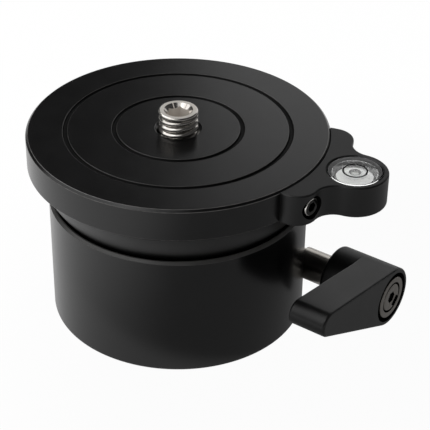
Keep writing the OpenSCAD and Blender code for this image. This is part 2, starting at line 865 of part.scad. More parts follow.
module lever_spring() {
    sides = 6;
    steps = ceil(coil_turns * 20);
    length = end_disc_x0 - web_x1 - 2 * seat_gap;
    rings = [for (i = [0:steps], p = coil_ring(i, steps, sides, length)) p];
    skin = [for (i = [0:steps - 1], k = [0:sides - 1], half = [0, 1])
        let (a = i * sides + k, b = i * sides + (k + 1) % sides)
        half == 0 ? [a, a + sides, b] : [b, a + sides, b + sides]];
    caps = [for (k = [1:sides - 2], end = [0, 1])
        end == 0 ? [0, k, k + 1] : [steps * sides, steps * sides + k + 1, steps * sides + k]];
    color("#9aa0a4")
        on_shaft(web_x1 + seat_gap) polyhedron(rings, concat(skin, caps));
}

module lever_washer() {
    well_r = lever_head_d / 2 + lever_head_fit;
    slot_play = spanner_w / 5;
    color("#8a857d")
        difference() {
            on_shaft(end_disc_x0) pipe(end_disc_d / 2, lever_screw_d / 2 + spline_fit, end_disc_t);
            on_shaft(end_disc_x1 - lever_head_h) cylinder(r = well_r, h = lever_head_h + past);
            for (side = [-1, 1])
                on_shaft(end_disc_x1 - lever_head_h)
                    rotate([0, 0, spanner_turn + 90 * (1 - side)])
                        translate([well_r - slot_play, -spanner_w / 2, 0])
                            cube([spanner_l + slot_play, spanner_w, lever_head_h + past]);
        }
}

module lever_screw() {
    color("#8a857d")
        difference() {
            union() {
                on_shaft(end_disc_x1 - lever_head_h) cylinder(d = lever_head_d, h = lever_head_h);
                on_shaft(end_disc_x1 - lever_head_h - lever_screw_l)
                    cylinder(d = lever_screw_d, h = lever_screw_l + lever_head_h / 2);
            }
            on_shaft(end_disc_x1 - lever_hex_af / 2) hex(lever_hex_af, lever_hex_af);
        }
}

housing();
base_plate();
thread_insert();
base_screws();
seat_ring();
bowl();
draw_stem();
slide_pad();
disc_springs();
spring_washer();
lock_nut();
top_plate();
head_stud();
stud_nut();
level_arm();
level_screws();
vial_case();
vial_base();
vial_liquid();
vial_bubble();
vial_mark();
brake_pin();
clamp_shaft();
spline_collar();
lever_handle();
lever_spring();
lever_washer();
lever_screw();
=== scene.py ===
# %% [markdown]
# # Dressing a leveling base
# The real object is a black anodised cup with a half ball in it, a round plate on the half ball, a bubble
# level on an arm at the plate's edge, and a clamping lever on a bare steel shaft. The solids come from the
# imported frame, and this script makes the faces that the camera sees: rounded edges, threads, glass and
# finishes.

# %% Load the fixed frame
import math

import bmesh
import bpy
import numpy as np
from mathutils import Matrix, Vector


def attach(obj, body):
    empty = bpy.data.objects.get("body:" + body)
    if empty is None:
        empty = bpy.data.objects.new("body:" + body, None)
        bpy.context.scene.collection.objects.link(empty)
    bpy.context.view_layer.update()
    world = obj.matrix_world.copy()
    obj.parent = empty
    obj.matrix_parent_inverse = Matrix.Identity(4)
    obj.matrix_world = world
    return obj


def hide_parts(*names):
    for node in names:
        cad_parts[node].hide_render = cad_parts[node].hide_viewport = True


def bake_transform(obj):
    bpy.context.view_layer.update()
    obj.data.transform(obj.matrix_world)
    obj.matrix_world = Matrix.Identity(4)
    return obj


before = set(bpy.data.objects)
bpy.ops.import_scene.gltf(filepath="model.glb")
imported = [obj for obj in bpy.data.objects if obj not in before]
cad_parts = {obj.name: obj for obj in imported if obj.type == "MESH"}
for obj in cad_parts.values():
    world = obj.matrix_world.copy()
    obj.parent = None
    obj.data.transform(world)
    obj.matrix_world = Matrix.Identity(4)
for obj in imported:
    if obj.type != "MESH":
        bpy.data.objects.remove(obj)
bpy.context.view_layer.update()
scene = bpy.context.scene
scene.view_settings.view_transform = "Standard"
MM = 0.001

# %% [markdown]
# ## Camera
# The camera is placed first, because every later choice is judged through it. Its focal length, distance
# and angles were solved from the round edges of the plate and the housing. It aims at the middle of the
# plate's top face and is then turned a little to the right and up, which puts the object low and left in
# the frame, without lens shift.

# %% Place the camera
FRAME_PX = 430
FOCAL_PX = 1443.15
SENSOR = 36.0
CAMERA_FAR = 346.26
CAMERA_AZIMUTH = math.radians(36.97)
CAMERA_RISE = math.radians(29.98)
CAMERA_YAW = math.radians(-1.448)
CAMERA_PITCH = math.radians(-3.473)
PLATE_TOP = 48.8


def camera_matrix():
    """Looks from the camera to the plate's centre, then turns about the view's own up and right."""
    back = Vector((math.sin(CAMERA_AZIMUTH) * math.cos(CAMERA_RISE),
                   -math.cos(CAMERA_AZIMUTH) * math.cos(CAMERA_RISE), math.sin(CAMERA_RISE)))
    ahead = -back
    right = Vector((math.cos(CAMERA_AZIMUTH), math.sin(CAMERA_AZIMUTH), 0))
    up = right.cross(ahead)
    yaw = Matrix.Rotation(CAMERA_YAW, 3, up)
    ahead, right = yaw @ ahead, yaw @ right
    ahead = Matrix.Rotation(CAMERA_PITCH, 3, right) @ ahead
    up = right.cross(ahead)
    turn = Matrix((right, up, -ahead)).transposed().to_4x4()
    return Matrix.Translation((back * CAMERA_FAR + Vector((0, 0, PLATE_TOP))) * MM) @ turn


camera = bpy.data.objects.new("camera", bpy.data.cameras.new("camera"))
scene.collection.objects.link(camera)
camera.data.sensor_width = SENSOR
camera.data.lens = SENSOR * FOCAL_PX / FRAME_PX
camera.data.clip_start = 0.01
camera.data.clip_end = 20
camera.matrix_world = camera_matrix()
scene.camera = camera
print("lens", round(camera.data.lens, 2), "mm")

# %% [markdown]
# ## Sizes
# All sizes are in millimetres and repeat the part's own values. The origin is the centre of the tripod
# face, Z is up and X runs the way of the lever's shaft, so a piece that is worked out from them lies where
# the solid lies.

# %% Sizes of the main pieces
BODY_R, BODY_H = 31.75, 31.4
BALL_Z, CUP_R, BALL_R = 52.998, 37.618, 37.018
PLATE_R, PLATE_LOW = 36.5, 40.4
STUD_R, STUD_TOP, PITCH_UNC = 4.7625, 53.7, 1.5875
SHAFT_OFF, SHAFT_Z, SHAFT_R, BARE_R, BARE_IN = 18.0, 10.4, 3.35, 4.0, 26.28
BOSS_R = 7.6
BOSS_IN = math.sqrt(BODY_R ** 2 - (SHAFT_OFF - BOSS_R) ** 2) + 5.2
BOSS_OUT = BOSS_IN + 16.6
ARM_TURN = math.radians(11.6)
VIAL_X = PLATE_R + 8.3

# %% [markdown]
# ## From arrays to a mesh
# Every surface here is a grid of points: one index runs round the piece, the other along its profile. A
# patch is such a grid with its quads, and a value that says how close each point is to an outer edge,
# which the finishes use for wear and for a painted highlight. A piece joins its patches, closes seams and
# poles by merging points that coincide, and turns all faces outwards.

# %% Patches
def quads(nu, nv, close_u, close_v):
    """Corner numbers of the quads of an nu by nv grid, going on round where it is closed."""
    across = np.arange(nu if close_u else nu - 1)
    along = np.arange(nv if close_v else nv - 1)
    u, v = np.meshgrid(across, along, indexing="ij")
    u1, v1 = (u + 1) % nu, (v + 1) % nv
    return np.stack([u * nv + v, u1 * nv + v, u1 * nv + v1, u * nv + v1], -1).reshape(-1, 4)


def patch(points, close_u=True, close_v=False, edge=0.0):
    """A grid of points as a flat list, its quads, and its edge value."""
    nu, nv = points.shape[:2]
    wear_and_sheen = np.broadcast_to(edge, (nu, nv)).reshape(-1)
    return points.reshape(-1, 3), quads(nu, nv, close_u, close_v), wear_and_sheen


def row_patch(rows, close_v):
    """A patch from rows of (points across, height, edge value), each of which runs once round the piece."""
    xy = np.stack([row[0] for row in rows], 1)
    z, edge = (np.stack([np.broadcast_to(row[k], len(xy)) for row in rows], 1) for k in (1, 2))
    return patch(np.concatenate([xy, z[..., None]], -1), True, close_v, edge)


def round_angles(count):
    """Even angles once round an axis, as a column."""
    return np.linspace(0, 2 * np.pi, count, endpoint=False)[:, None]


def directions(a):
    """Unit vectors at these angles: (cos a, sin a)."""
    return np.stack([np.cos(a), np.sin(a)], -1)


def polar(r, a, z):
    """Points from distance, angle and height: x = r cos a, y = r sin a."""
    return np.stack(np.broadcast_arrays(r * np.cos(a), r * np.sin(a), z), -1)


print("patch tools ready")


# %% Places of the pieces
def spin(points, angle):
    """Turns points about the Z axis: x cos a - y sin a, x sin a + y cos a, z."""
    x, y, z = np.moveaxis(points, -1, 0)
    c, s = math.cos(angle), math.sin(angle)
    return np.stack([x * c - y * s, x * s + y * c, z], -1)


def on_axis_z(points):
    """Leaves a turned piece on the Z axis."""
    return points


def on_shaft(points):
    """Lays a piece turned about Z along the lever's shaft: x goes to Y, y to Z and z to X."""
    return np.stack([points[..., 2], points[..., 0] + SHAFT_OFF, points[..., 1] + SHAFT_Z], -1)


def on_arm(points):
    """Turns a piece that was made along X to the direction of the level arm."""
    return spin(points, ARM_TURN)


def on_vial(points):
    """Moves a piece that was turned about Z to the axis of the bubble level."""
    return points + on_arm(np.array([VIAL_X, 0.0, 0.0]))


print("the level's axis is at", on_vial(np.zeros(3)).round(2))

# %% Pieces
MERGE = 1e-6
SHARP = math.radians(32)


def weld(mesh):
    """Merges points that coincide, turns faces outwards, and shades all but sharp edges smooth."""
    work = bmesh.new()
    work.from_mesh(mesh)
    bmesh.ops.remove_doubles(work, verts=work.verts, dist=MERGE)
    bmesh.ops.dissolve_degenerate(work, edges=work.edges, dist=MERGE / 10)
    bmesh.ops.recalc_face_normals(work, faces=work.faces)
    work.to_mesh(mesh)
    work.free()
    mesh.shade_smooth()
    mesh.set_sharp_from_angle(angle=SHARP)


def make_mesh(name, patches, place=on_axis_z):
    """Joins patches into one mesh object in metres, with closed seams and an edge attribute."""
    starts = np.cumsum([0] + [len(p[0]) for p in patches[:-1]])
    points = place(np.concatenate([p[0] for p in patches])) * MM
    faces = np.concatenate([p[1] + s for p, s in zip(patches, starts)])
    mesh = bpy.data.meshes.new(name)
    mesh.from_pydata(points.tolist(), [], faces.tolist())
    mesh.attributes.new("edge", "FLOAT", "POINT").data.foreach_set(
        "value", np.concatenate([p[2] for p in patches]).astype(np.float32))
    weld(mesh)
    made = bpy.data.objects.new(name, mesh)
    scene.collection.objects.link(made)
    return made


def report(made):
    """Prints a piece's faces, and its open edges: those at which not exactly two faces meet."""
    mesh = made.data
    loops = np.empty(len(mesh.loops), np.int32)
    mesh.loops.foreach_get("edge_index", loops)
    uses = np.bincount(loops, minlength=len(mesh.edges))
    print(made.name, len(mesh.polygons), "faces", (uses != 2).sum(), "open edges")


def dress(made, finish, body, slot, *nodes):
    """Gives a piece its finish and its body, and hides the solids that it stands for.
    The slot is not used.
    """
    made.data.materials.clear()
    made.data.materials.append(finish)
    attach(made, body)
    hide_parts(*nodes)
    report(made)


def second_finish(made, finish, inside):
    """Gives a second finish to the faces whose centre, in millimetres, passes a test."""
    faces = made.data.polygons
    centre = np.empty(3 * len(faces), np.float32)
    faces.foreach_get("center", centre)
    chosen = np.empty(len(faces), np.int32)
    faces.foreach_get("material_index", chosen)
    made.data.materials.append(finish)
    chosen[inside(centre.reshape(-1, 3) / MM)] = len(made.data.materials) - 1
    faces.foreach_set("material_index", chosen)


def drill(made, cutter):
    """Cuts one piece out of another with an exact boolean, whose result becomes the piece's own mesh."""
    cut = made.modifiers.new("drill", "BOOLEAN")
    cut.operation = "DIFFERENCE"
    cut.solver = "EXACT"
    cut.object = cutter
    bpy.context.view_layer.update()
    done = bpy.data.meshes.new_from_object(made.evaluated_get(bpy.context.evaluated_depsgraph_get()))
    made.modifiers.clear()
    made.data = done
    done.name = made.name
    bpy.data.objects.remove(cutter)
    weld(done)


print("piece tools ready")

# %% [markdown]
# ## Turned work with broken edges
# Most of the object comes off a lathe. A turned piece is a closed profile carried round an axis. No
# machined edge is truly sharp, and a small radius is what catches the light, so each corner of a profile
# is replaced by an arc that touches both of its sides. One more point is held close to each end of the
# arc, which keeps the flat beyond it flat in smooth shading.

# %% Profiles
HOLD = 0.04
ARC_STEPS = 5


def corner_arc(before, corner, after, radius):
    """Points of the arc of this radius that touches both sides of a corner, and their edge value.

    The arc's centre lies on the line that halves the corner, radius / sin(half the corner) away from it."""
    a, b = (np.subtract(before, corner), np.subtract(after, corner))
    a, b = a / np.linalg.norm(a), b / np.linalg.norm(b)
    half = np.arccos(np.clip(a @ b, -1, 1)) / 2
    middle = (a + b) / np.linalg.norm(a + b)
    centre = corner + middle * radius / np.sin(half)
    sweep = np.pi - 2 * half
    s = np.linspace(0, 1, ARC_STEPS + 1)[:, None]
    start, end = (corner + d * radius / np.tan(half) - centre for d in (a, b))
    arc = centre + (np.sin((1 - s) * sweep) * start + np.sin(s * sweep) * end) / np.sin(sweep)
    points = np.vstack([arc[:1] + a * HOLD, arc, arc[-1:] + b * HOLD])
    return points, np.pad(np.sin(np.pi * s[:, 0]), 1)


def soft_profile(corners):
    """A closed profile from rows of (distance from the axis, height, corner radius or 0)."""
    points, edge = [], []
    for i, (r, z, radius) in enumerate(corners):
        if radius > 0:
            arc, wear_and_sheen = corner_arc(corners[i - 1][:2], np.array([r, z], float),
                                   corners[(i + 1) % len(corners)][:2], radius)
        else:
            arc, wear_and_sheen = np.array([[r, z]], float), np.zeros(1)
        points.append(arc)
        edge.append(wear_and_sheen)
    return np.concatenate(points), np.concatenate(edge)


def lathe(name, corners, segments=128, place=on_axis_z):
    """Carries a profile round Z: x = r cos a, y = r sin a. Unless its ends lie on the axis, it closes."""
    profile, edge = soft_profile(corners)
    points = polar(profile[:, 0], round_angles(segments), profile[:, 1])
    return make_mesh(name, [patch(points, True, profile[[0, -1], 0].any(), edge)], place)


def rod(radius, low, high, place, segments=64):
    """A plain round cutter between two heights, closed at both ends."""
    corners = [(0, low, 0), (radius, low, 0), (radius, high, 0), (0, high, 0)]
    return lathe("rod_cutter", corners, segments, place)


def arc_rows(centre_z, radius, a0, a1, count):
    """Rows (r, z, 0) on an arc about the axis, by degrees from straight down: radius * (sin, -cos)."""
    a = np.linspace(math.radians(a0), math.radians(a1), count)
    return [(radius * x, centre_z - radius * y, 0) for x, y in zip(np.sin(a), np.cos(a))]


def angle_out(radius, r):
    """Degrees from straight down at which a ball of this radius is r away from the axis: asin(r / radius)."""
    return math.degrees(math.asin(r / radius))


def angle_up(radius, z):
    """Degrees from straight down at which a ball is at a height: acos((BALL_Z - z) / radius)."""
    return math.degrees(math.acos((BALL_Z - z) / radius))


print("profile tools ready")

# %% [markdown]
# ## Finishes
# Black anodising is a dyed oxide skin: nearly black, satin, with a faint grain from the blasting under it,
# and turned faces keep fine tool rings. Edges are a little paler, where hands and bags rub them, and on the
# turned black parts the paleness is also a painted highlight. The patterns read Object coordinates, so they
# stay on the metal when it moves.

# %% Node helpers
class Wiring:
    """Adds nodes to one tree and links them. What a method returns is the output that carries its result."""

    def __init__(self, tree):
        """Keeps the tree."""
        self.tree = tree

    def put(self, value, socket):
        """Links an output to an input, or sets the input to a plain value."""
        if isinstance(value, bpy.types.NodeSocket):
            self.tree.links.new(value, socket)
        else:
            socket.default_value = value

    def set(self, node, values):
        """Puts values on a node's inputs by name."""
        for name, value in values.items():
            self.put(value, node.inputs[name])

    def add(self, kind, *values, **properties):
        """A new node with its properties and the values of its first inputs. Returns the node."""
        node = self.tree.nodes.new(kind)
        for name, value in properties.items():
            setattr(node, name, value)
        for value, socket in zip(values, node.inputs):
            self.put(value, socket)
        return node

    def calc(self, operation, *values):
        """Arithmetic on outputs and numbers."""
        return self.add("ShaderNodeMath", *values, operation=operation).outputs[0]

    def place(self):
        """The position on the object."""
        return self.add("ShaderNodeTexCoord").outputs["Object"]

    def axis_distance(self, axis, centre):
        """Millimetres from a turning axis: the length of the position without the axis part."""
        keep = [0.0 if k == axis else 1 / MM for k in range(3)]
        shift = [0.0 if k == axis else -c for k, c in enumerate(centre)]
        off = self.add("ShaderNodeVectorMath", self.place(), keep, shift, operation="MULTIPLY_ADD")
        return self.add("ShaderNodeVectorMath", off.outputs["Vector"], operation="LENGTH").outputs["Value"]

    def noise(self, scale, detail):
        """Cloudy noise on the object, around a half."""
        node = self.add("ShaderNodeTexNoise")
        self.set(node, {"Vector": self.place(), "Scale": scale, "Detail": detail})
        return node.outputs["Fac"]

    def span(self, value, low, high, reach=(0.0, 1.0), kind="LINEAR"):
        """Goes from low to high while a value goes over its reach."""
        node = self.add("ShaderNodeMapRange", interpolation_type=kind)
        self.set(node, {"Value": value, "From Min": reach[0], "From Max": reach[1],
                        "To Min": low, "To Max": high})
        return node.outputs["Result"]

    def ramp(self, value, *stops):
        """A colour ramp with stops of (place, colour)."""
        node = self.add("ShaderNodeValToRGB", value)
        elements = node.color_ramp.elements
        while len(elements) < len(stops):
            elements.new(0.5)
        for element, (place, colour) in zip(elements, stops):
            element.position = place
            element.color = (*colour, 1)
        return node.outputs["Color"]

    def bump(self, height, strength, distance):
        """A normal that follows a height."""
        node = self.add("ShaderNodeBump")
        self.set(node, {"Height": height, "Strength": strength, "Distance": distance})
        return node.outputs["Normal"]


def new_material(name):
    """A node material, its Principled shader, and the wiring of its tree."""
    made = bpy.data.materials.new(name)
    made.use_nodes = True
    shader = next(n for n in made.node_tree.nodes if n.type == "BSDF_PRINCIPLED")
    return made, shader, Wiring(made.node_tree)


def grey(value):
    """A colour with the same share of red, green and blue."""
    return (value, value, value)


print("node helpers ready")

# %% Anodised and steel finishes
DRIFT_STOPS = (0.3, 0.7)
CLOUD_SCALE, WEAR_SHEEN_SCALE, GRAIN_SCALE = 140.0, 700.0, 1000.0
METAL_BUMP = (0.35, 0.0001)


def turned_metal(name, colours, roughness, metallic, axis=2, centre=(0, 0, 0), ring=0.12, ring_depth=0.02,
                 grain=0.03, wear_and_sheen=None, level=0.5):
    """Metal with tool rings round an axis, a fine grain, and paler edges, for wear and a painted highlight.

    Bump height = ring_depth times a sine of the distance from the axis + grain times noise."""
    made, shader, wire = new_material(name)
    cloud = wire.noise(CLOUD_SCALE, 3.0)
    colour = wire.ramp(cloud, *zip(DRIFT_STOPS, colours))
    if wear_and_sheen is not None:
        edge = wire.add("ShaderNodeAttribute", attribute_name="edge").outputs["Fac"]
        # Edges take the paler colour: wear, and on some finishes a painted highlight.
        rub_and_sheen = wire.calc("MULTIPLY", edge, wire.noise(WEAR_SHEEN_SCALE, 4.0))
        mix = wire.add("ShaderNodeMix", rub_and_sheen, data_type="RGBA")
        wire.put(colour, mix.inputs[6])
        wire.put((*wear_and_sheen, 1), mix.inputs[7])
        colour = mix.outputs[2]
    rings = wire.calc("SINE", wire.calc("MULTIPLY", wire.axis_distance(axis, centre), 2 * math.pi / ring))
    rings = wire.calc("MULTIPLY", rings, ring_depth)
    height = wire.calc("MULTIPLY_ADD", wire.noise(GRAIN_SCALE, 2.0), grain, rings)
    wire.set(shader, {"Base Color": colour, "Roughness": wire.span(cloud, *roughness), "Metallic": metallic,
                      "Specular IOR Level": level, "Normal": wire.bump(height, *METAL_BUMP)})
    return made


BLACK = ((0.0014, 0.0014, 0.0015), (0.0022, 0.0022, 0.0023))
RIM_PAINTED_HIGHLIGHT = ((0.03, 0.0294, 0.0282), (0.04, 0.0392, 0.0376))
BRIGHT_STEEL = ((0.66, 0.63, 0.59), (0.78, 0.75, 0.71))
SHAFT_STEEL = ((0.52, 0.49, 0.45), (0.66, 0.63, 0.58))
FACED_STEEL = ((0.56, 0.53, 0.49), (0.68, 0.65, 0.6))
BROACHED_STEEL = ((0.46, 0.42, 0.38), (0.6, 0.56, 0.51))
PLAIN_STEEL = ((0.36, 0.36, 0.35), (0.47, 0.46, 0.44))
DARK_STEEL = ((0.02, 0.02, 0.021), (0.04, 0.04, 0.041))
CAP_PAINTED_SHADE = ((0.02, 0.0194, 0.0186), (0.035, 0.034, 0.0325))
GUNMETAL = ((0.23, 0.214, 0.196), (0.32, 0.298, 0.272))
BRASS = ((0.5, 0.34, 0.12), (0.62, 0.44, 0.18))
NYLON = ((0.66, 0.63, 0.54), (0.74, 0.71, 0.62))
SHAFT_LINE = {"axis": 0, "centre": (0, SHAFT_OFF, SHAFT_Z)}
PIN_X = 21.93
# The pale edge colour of the turned black parts is wear and a painted highlight on their rounded edges.
black_upright = turned_metal("black_anodised_turned", BLACK, (0.21, 0.28), 0.0, wear_and_sheen=(0.16, 0.155, 0.15),
                             ring_depth=0.012, grain=0.02)
black_blasted = turned_metal("black_anodised_blasted", BLACK, (0.38, 0.46), 0.0, wear_and_sheen=grey(0.004),
                             ring_depth=0.0, grain=0.05)
# Painted shade: black with little gloss, put in the plate's grooves, the arm's counterbores and the sunk
# parts of the lever's end.
black_painted_shade = turned_metal("black_anodised_painted_shade", BLACK, (0.5, 0.6), 0.0, ring_depth=0.0, level=0.1)
# The housing's rim is painted paler than the wall: a painted highlight.
black_rim_highlight = turned_metal("black_anodised_rim_highlight", RIM_PAINTED_HIGHLIGHT, (0.3, 0.38), 0.0, ring_depth=0.01)
steel_upright = turned_metal("stainless_upright", BRIGHT_STEEL, (0.14, 0.22), 1.0, ring=0.09, ring_depth=0.03)
faced = turned_metal("stainless_faced", FACED_STEEL, (0.38, 0.5), 0.6, ring=0.14, ring_depth=0.06)
broached = turned_metal("stainless_broached", BROACHED_STEEL, (0.45, 0.6), 0.2, ring_depth=0.0, grain=0.1)
steel_shaft = turned_metal("stainless_shaft", SHAFT_STEEL, (0.2, 0.3), 1.0, ring=0.07, **SHAFT_LINE)
gunmetal_disc = turned_metal("dark_nickel", GUNMETAL, (0.28, 0.42), 1.0, ring=0.11, ring_depth=0.04,
                             **SHAFT_LINE)
plain_steel = turned_metal("plain_steel", PLAIN_STEEL, (0.25, 0.4), 1.0, ring_depth=0.01)
dark_steel = turned_metal("blackened_steel", DARK_STEEL, (0.3, 0.45), 0.0, ring_depth=0.0)
# Painted shade: the stainless cap screws are nearly black, for the shade in their deep counterbores; only
# their rounded rim is pale steel, brightened as a painted highlight.
cap_shade_finish = turned_metal("steel_cap_painted_shade", CAP_PAINTED_SHADE, (0.07, 0.11), 1.0, ring_depth=0.0,
                        wear_and_sheen=(1.0, 0.97, 0.93))
brass = turned_metal("brass_pin", BRASS, (0.25, 0.4), 1.0, centre=(PIN_X, SHAFT_OFF, 0))
nylon = turned_metal("natural_nylon", NYLON, (0.4, 0.55), 0.0, ring_depth=0.01)
print("metals and nylon", len(bpy.data.materials))

# %% Clear, white and printed finishes
SMEAR_SCALE, PAINT_SCALE = 260.0, 420.0
PAINT_BUMP = (0.1, 0.00005)


def clear_body(name, tint, roughness, ior):
    """A clear solid with faint smears on its faces: transmission, with the roughness following soft noise."""
    made, shader, wire = new_material(name)
    smears = wire.span(wire.noise(SMEAR_SCALE, 3.0), *roughness)
    wire.set(shader, {"Base Color": (*tint, 1), "Roughness": smears, "Transmission Weight": 1.0, "IOR": ior})
    return made


def moulded(name, dark, pale, roughness, level=0.5):
    """Moulded or painted surface: a little drift between two greys, and a fine bump."""
    made, shader, wire = new_material(name)
    drift = wire.noise(PAINT_SCALE, 3.0)
    colour = wire.ramp(drift, *zip(DRIFT_STOPS, (grey(dark), grey(pale))))
    wire.set(shader, {"Base Color": colour, "Roughness": roughness, "Specular IOR Level": level,
                      "Normal": wire.bump(drift, *PAINT_BUMP)})
    return made


def bubble_painted_rim(name, centre, radius):
    """Air in spirit: clear in the middle and painted dark at the rim, as shade where a real bubble throws the
    light back.
    """
    made, shader, wire = new_material(name)
    share = wire.calc("DIVIDE", wire.axis_distance(2, centre), radius)
    colour = wire.ramp(share, (0.55, (0.97, 0.98, 0.96)), (0.75, (0.1, 0.1, 0.09)), (0.95, grey(0.02)))
    wire.set(shader, {"Base Color": colour, "Roughness": 0.02, "Transmission Weight": 1.0, "IOR": 1.02})
    return made


acrylic = clear_body("clear_acrylic", (0.992, 0.996, 0.993), (0.0, 0.03), 1.45)
spirit = clear_body("spirit_liquid", (0.992, 0.995, 0.988), (0.0, 0.01), 1.05)
white_floor = moulded("white_disc", 0.95, 0.98, 0.3)
vial_wall_shade = moulded("vial_wall_painted_shade", 0.09, 0.14, 0.5)
mark_black = moulded("mark_black", 0.004, 0.008, 0.5, level=0.08)
print("with clear and printed finishes", len(bpy.data.materials))

# %% [markdown]
# ## Housing
# The housing is one turned cup. Its profile runs up the outer wall, over a bevelled rim, down the ball
# seat, through the groove of the friction ring and the swing hole, and back along the hollow for the
# mushroom head. The bore of the lever's shaft, the hole of the brake pin that stands on it and the four
# screw holes are drilled afterwards, as they are on the real one.

# %% Housing, turned
RECESS_R, RECESS_H, FOOT_EDGE = 26.6, 3, 0.55
RIM_BEVEL, RIM_IN, RIM_EDGE = 0.6, BODY_R - 0.95, 0.15
TILT_MOST, STEM_ROOM = math.radians(14), 3.5
FLOOR_R, GROOVE_R = 41.818, 39.118
SWING_R = FLOOR_R * math.sin(TILT_MOST) + STEM_ROOM
CUP_LOW, CUP_HIGH = angle_out(CUP_R, SWING_R), angle_out(CUP_R, RIM_IN) - 1
RING_A0, RING_A1 = CUP_LOW + 1.77, CUP_LOW + 9.08
CAVITY_R, CAVITY_TOP, CAVITY_BALL_R, LEDGE_R = 26.246, 19.041, 45.568, 19.0
housing_corners = [(RECESS_R, 0, 0.2), (BODY_R, 0, FOOT_EDGE)]
housing_corners += [(BODY_R, z, 0) for z in np.linspace(3, 29, 9)]
housing_corners += [(BODY_R, BODY_H - RIM_BEVEL, RIM_EDGE), (BODY_R - RIM_BEVEL, BODY_H, RIM_EDGE),
                    (RIM_IN, BODY_H, 0.08)]
for radius, a0, a1, count in ((CUP_R, CUP_HIGH, RING_A1, 24), (GROOVE_R, RING_A1, RING_A0, 2),
                              (CUP_R, RING_A0, CUP_LOW, 3),
                              (FLOOR_R, angle_out(FLOOR_R, SWING_R), angle_up(FLOOR_R, CAVITY_TOP), 10)):
    housing_corners += arc_rows(BALL_Z, radius, a0, a1, count)
housing_corners += [(CAVITY_R, CAVITY_TOP, 0)]
housing_corners += arc_rows(BALL_Z, CAVITY_BALL_R, angle_out(CAVITY_BALL_R, CAVITY_R),
                            angle_out(CAVITY_BALL_R, LEDGE_R), 8)
housing_corners += [(LEDGE_R, RECESS_H, 0), (RECESS_R, RECESS_H, 0)]
housing = lathe("housing_cup", housing_corners, 256)
print("swing hole", round(SWING_R, 2), "mm in radius")

# %% Housing, drilled
BORE_IN, BORE_R, PIN_HOLE_R = 16.23, 3.43, 1.88
SCREW_CIRCLE, SCREW_TURN = 22.8, math.radians(30)
TAPPED_R, TAPPED_H = 1.5, 7.5
BARE_ROOM, BARE_GAP = 0.08, 0.15
THROUGH = 2


def upright_at(x, y):
    """A placing function that moves a piece made about Z to another upright axis."""
    return lambda points: points + np.array([x, y, 0.0])


def on_rim_highlight(points):
    """Whether points lie on the housing's rim, which is painted a little paler than the wall as a highlight.
    """
    return (points[:, 2] > BODY_H - RIM_BEVEL - 0.02) & (np.hypot(points[:, 0], points[:, 1]) > BODY_R - 1)


drill(housing, rod(BORE_R, BORE_IN, BODY_R + THROUGH, on_shaft))
drill(housing, rod(BARE_R + BARE_ROOM, BARE_IN - BARE_GAP, BODY_R + THROUGH, on_shaft))
drill(housing, rod(PIN_HOLE_R, SHAFT_Z, BODY_H + THROUGH, upright_at(PIN_X, SHAFT_OFF)))
for k in range(4):
    turn = SCREW_TURN + k * math.pi / 2
    drill(housing, rod(TAPPED_R, 0, TAPPED_H, upright_at(*SCREW_CIRCLE * directions(turn))))
dress(housing, black_upright, "base", "black_anodised", "housing")
second_finish(housing, black_rim_highlight, on_rim_highlight)

# %% [markdown]
# ## Half ball and plate
# The half ball shows as a dark band between rim and plate. The plate carries the load: two shallow rings
# are turned into its face, its rim is broken at both edges, and a countersink clears the stud. Both are
# closed turned profiles, hollow inside as the solids are.

# %% Half ball
BOWL_IN_R, BOWL_FLOOR, SPIGOT_TOP = BALL_R - 5, BALL_Z - BALL_R + 4, PLATE_LOW + 3
BOWL_BORE = math.sqrt(BOWL_IN_R ** 2 - (BALL_Z - PLATE_LOW) ** 2)
SPIGOT_R = BOWL_BORE + 2.6
STEM_HOLE_R, POCKET_R = 3.05, 10.5
bowl_corners = [(STEM_HOLE_R, BOWL_FLOOR, 0)]
bowl_corners += arc_rows(BALL_Z, BALL_R, angle_out(BALL_R, STEM_HOLE_R), angle_up(BALL_R, PLATE_LOW), 48)
bowl_corners += [(SPIGOT_R, PLATE_LOW, 0), (SPIGOT_R, SPIGOT_TOP, 0), (BOWL_BORE, SPIGOT_TOP, 0)]
bowl_corners += arc_rows(BALL_Z, BOWL_IN_R, angle_up(BOWL_IN_R, PLATE_LOW),
                         angle_out(BOWL_IN_R, POCKET_R), 24)
bowl_corners += [(POCKET_R, BOWL_FLOOR, 0)]
bowl = lathe("half_ball", bowl_corners, 256)
dress(bowl, black_blasted, "platform", "black_anodised", "bowl")

# %% Plate
GROOVE_W, GROOVE_DEEP, RING_OUT, RING_IN = 1.2, 0.45, 27.1, 15.4
NUT_ROOM_R, SINK = 10, 0.9
LOW_BEVEL, TOP_BEVEL = 0.5, 0.55


def groove(radius):
    """Corners of a shallow ring in the plate's face, from outside in."""
    return [(radius + GROOVE_W / 2, PLATE_TOP, 0.08), (radius + GROOVE_W / 4, PLATE_TOP - GROOVE_DEEP, 0.12),
            (radius - GROOVE_W / 4, PLATE_TOP - GROOVE_DEEP, 0.12), (radius - GROOVE_W / 2, PLATE_TOP, 0.08)]


def in_groove_shade(points):
    """Whether points lie below the plate's face in one of its two rings, which get the painted shade."""
    off = np.hypot(points[:, 0], points[:, 1])
    near = np.minimum(np.abs(off - RING_OUT), np.abs(off - RING_IN)) < GROOVE_W / 2 + 0.1
    return near & (points[:, 2] < PLATE_TOP - 0.04) & (points[:, 2] > PLATE_TOP - GROOVE_DEEP - 0.1)


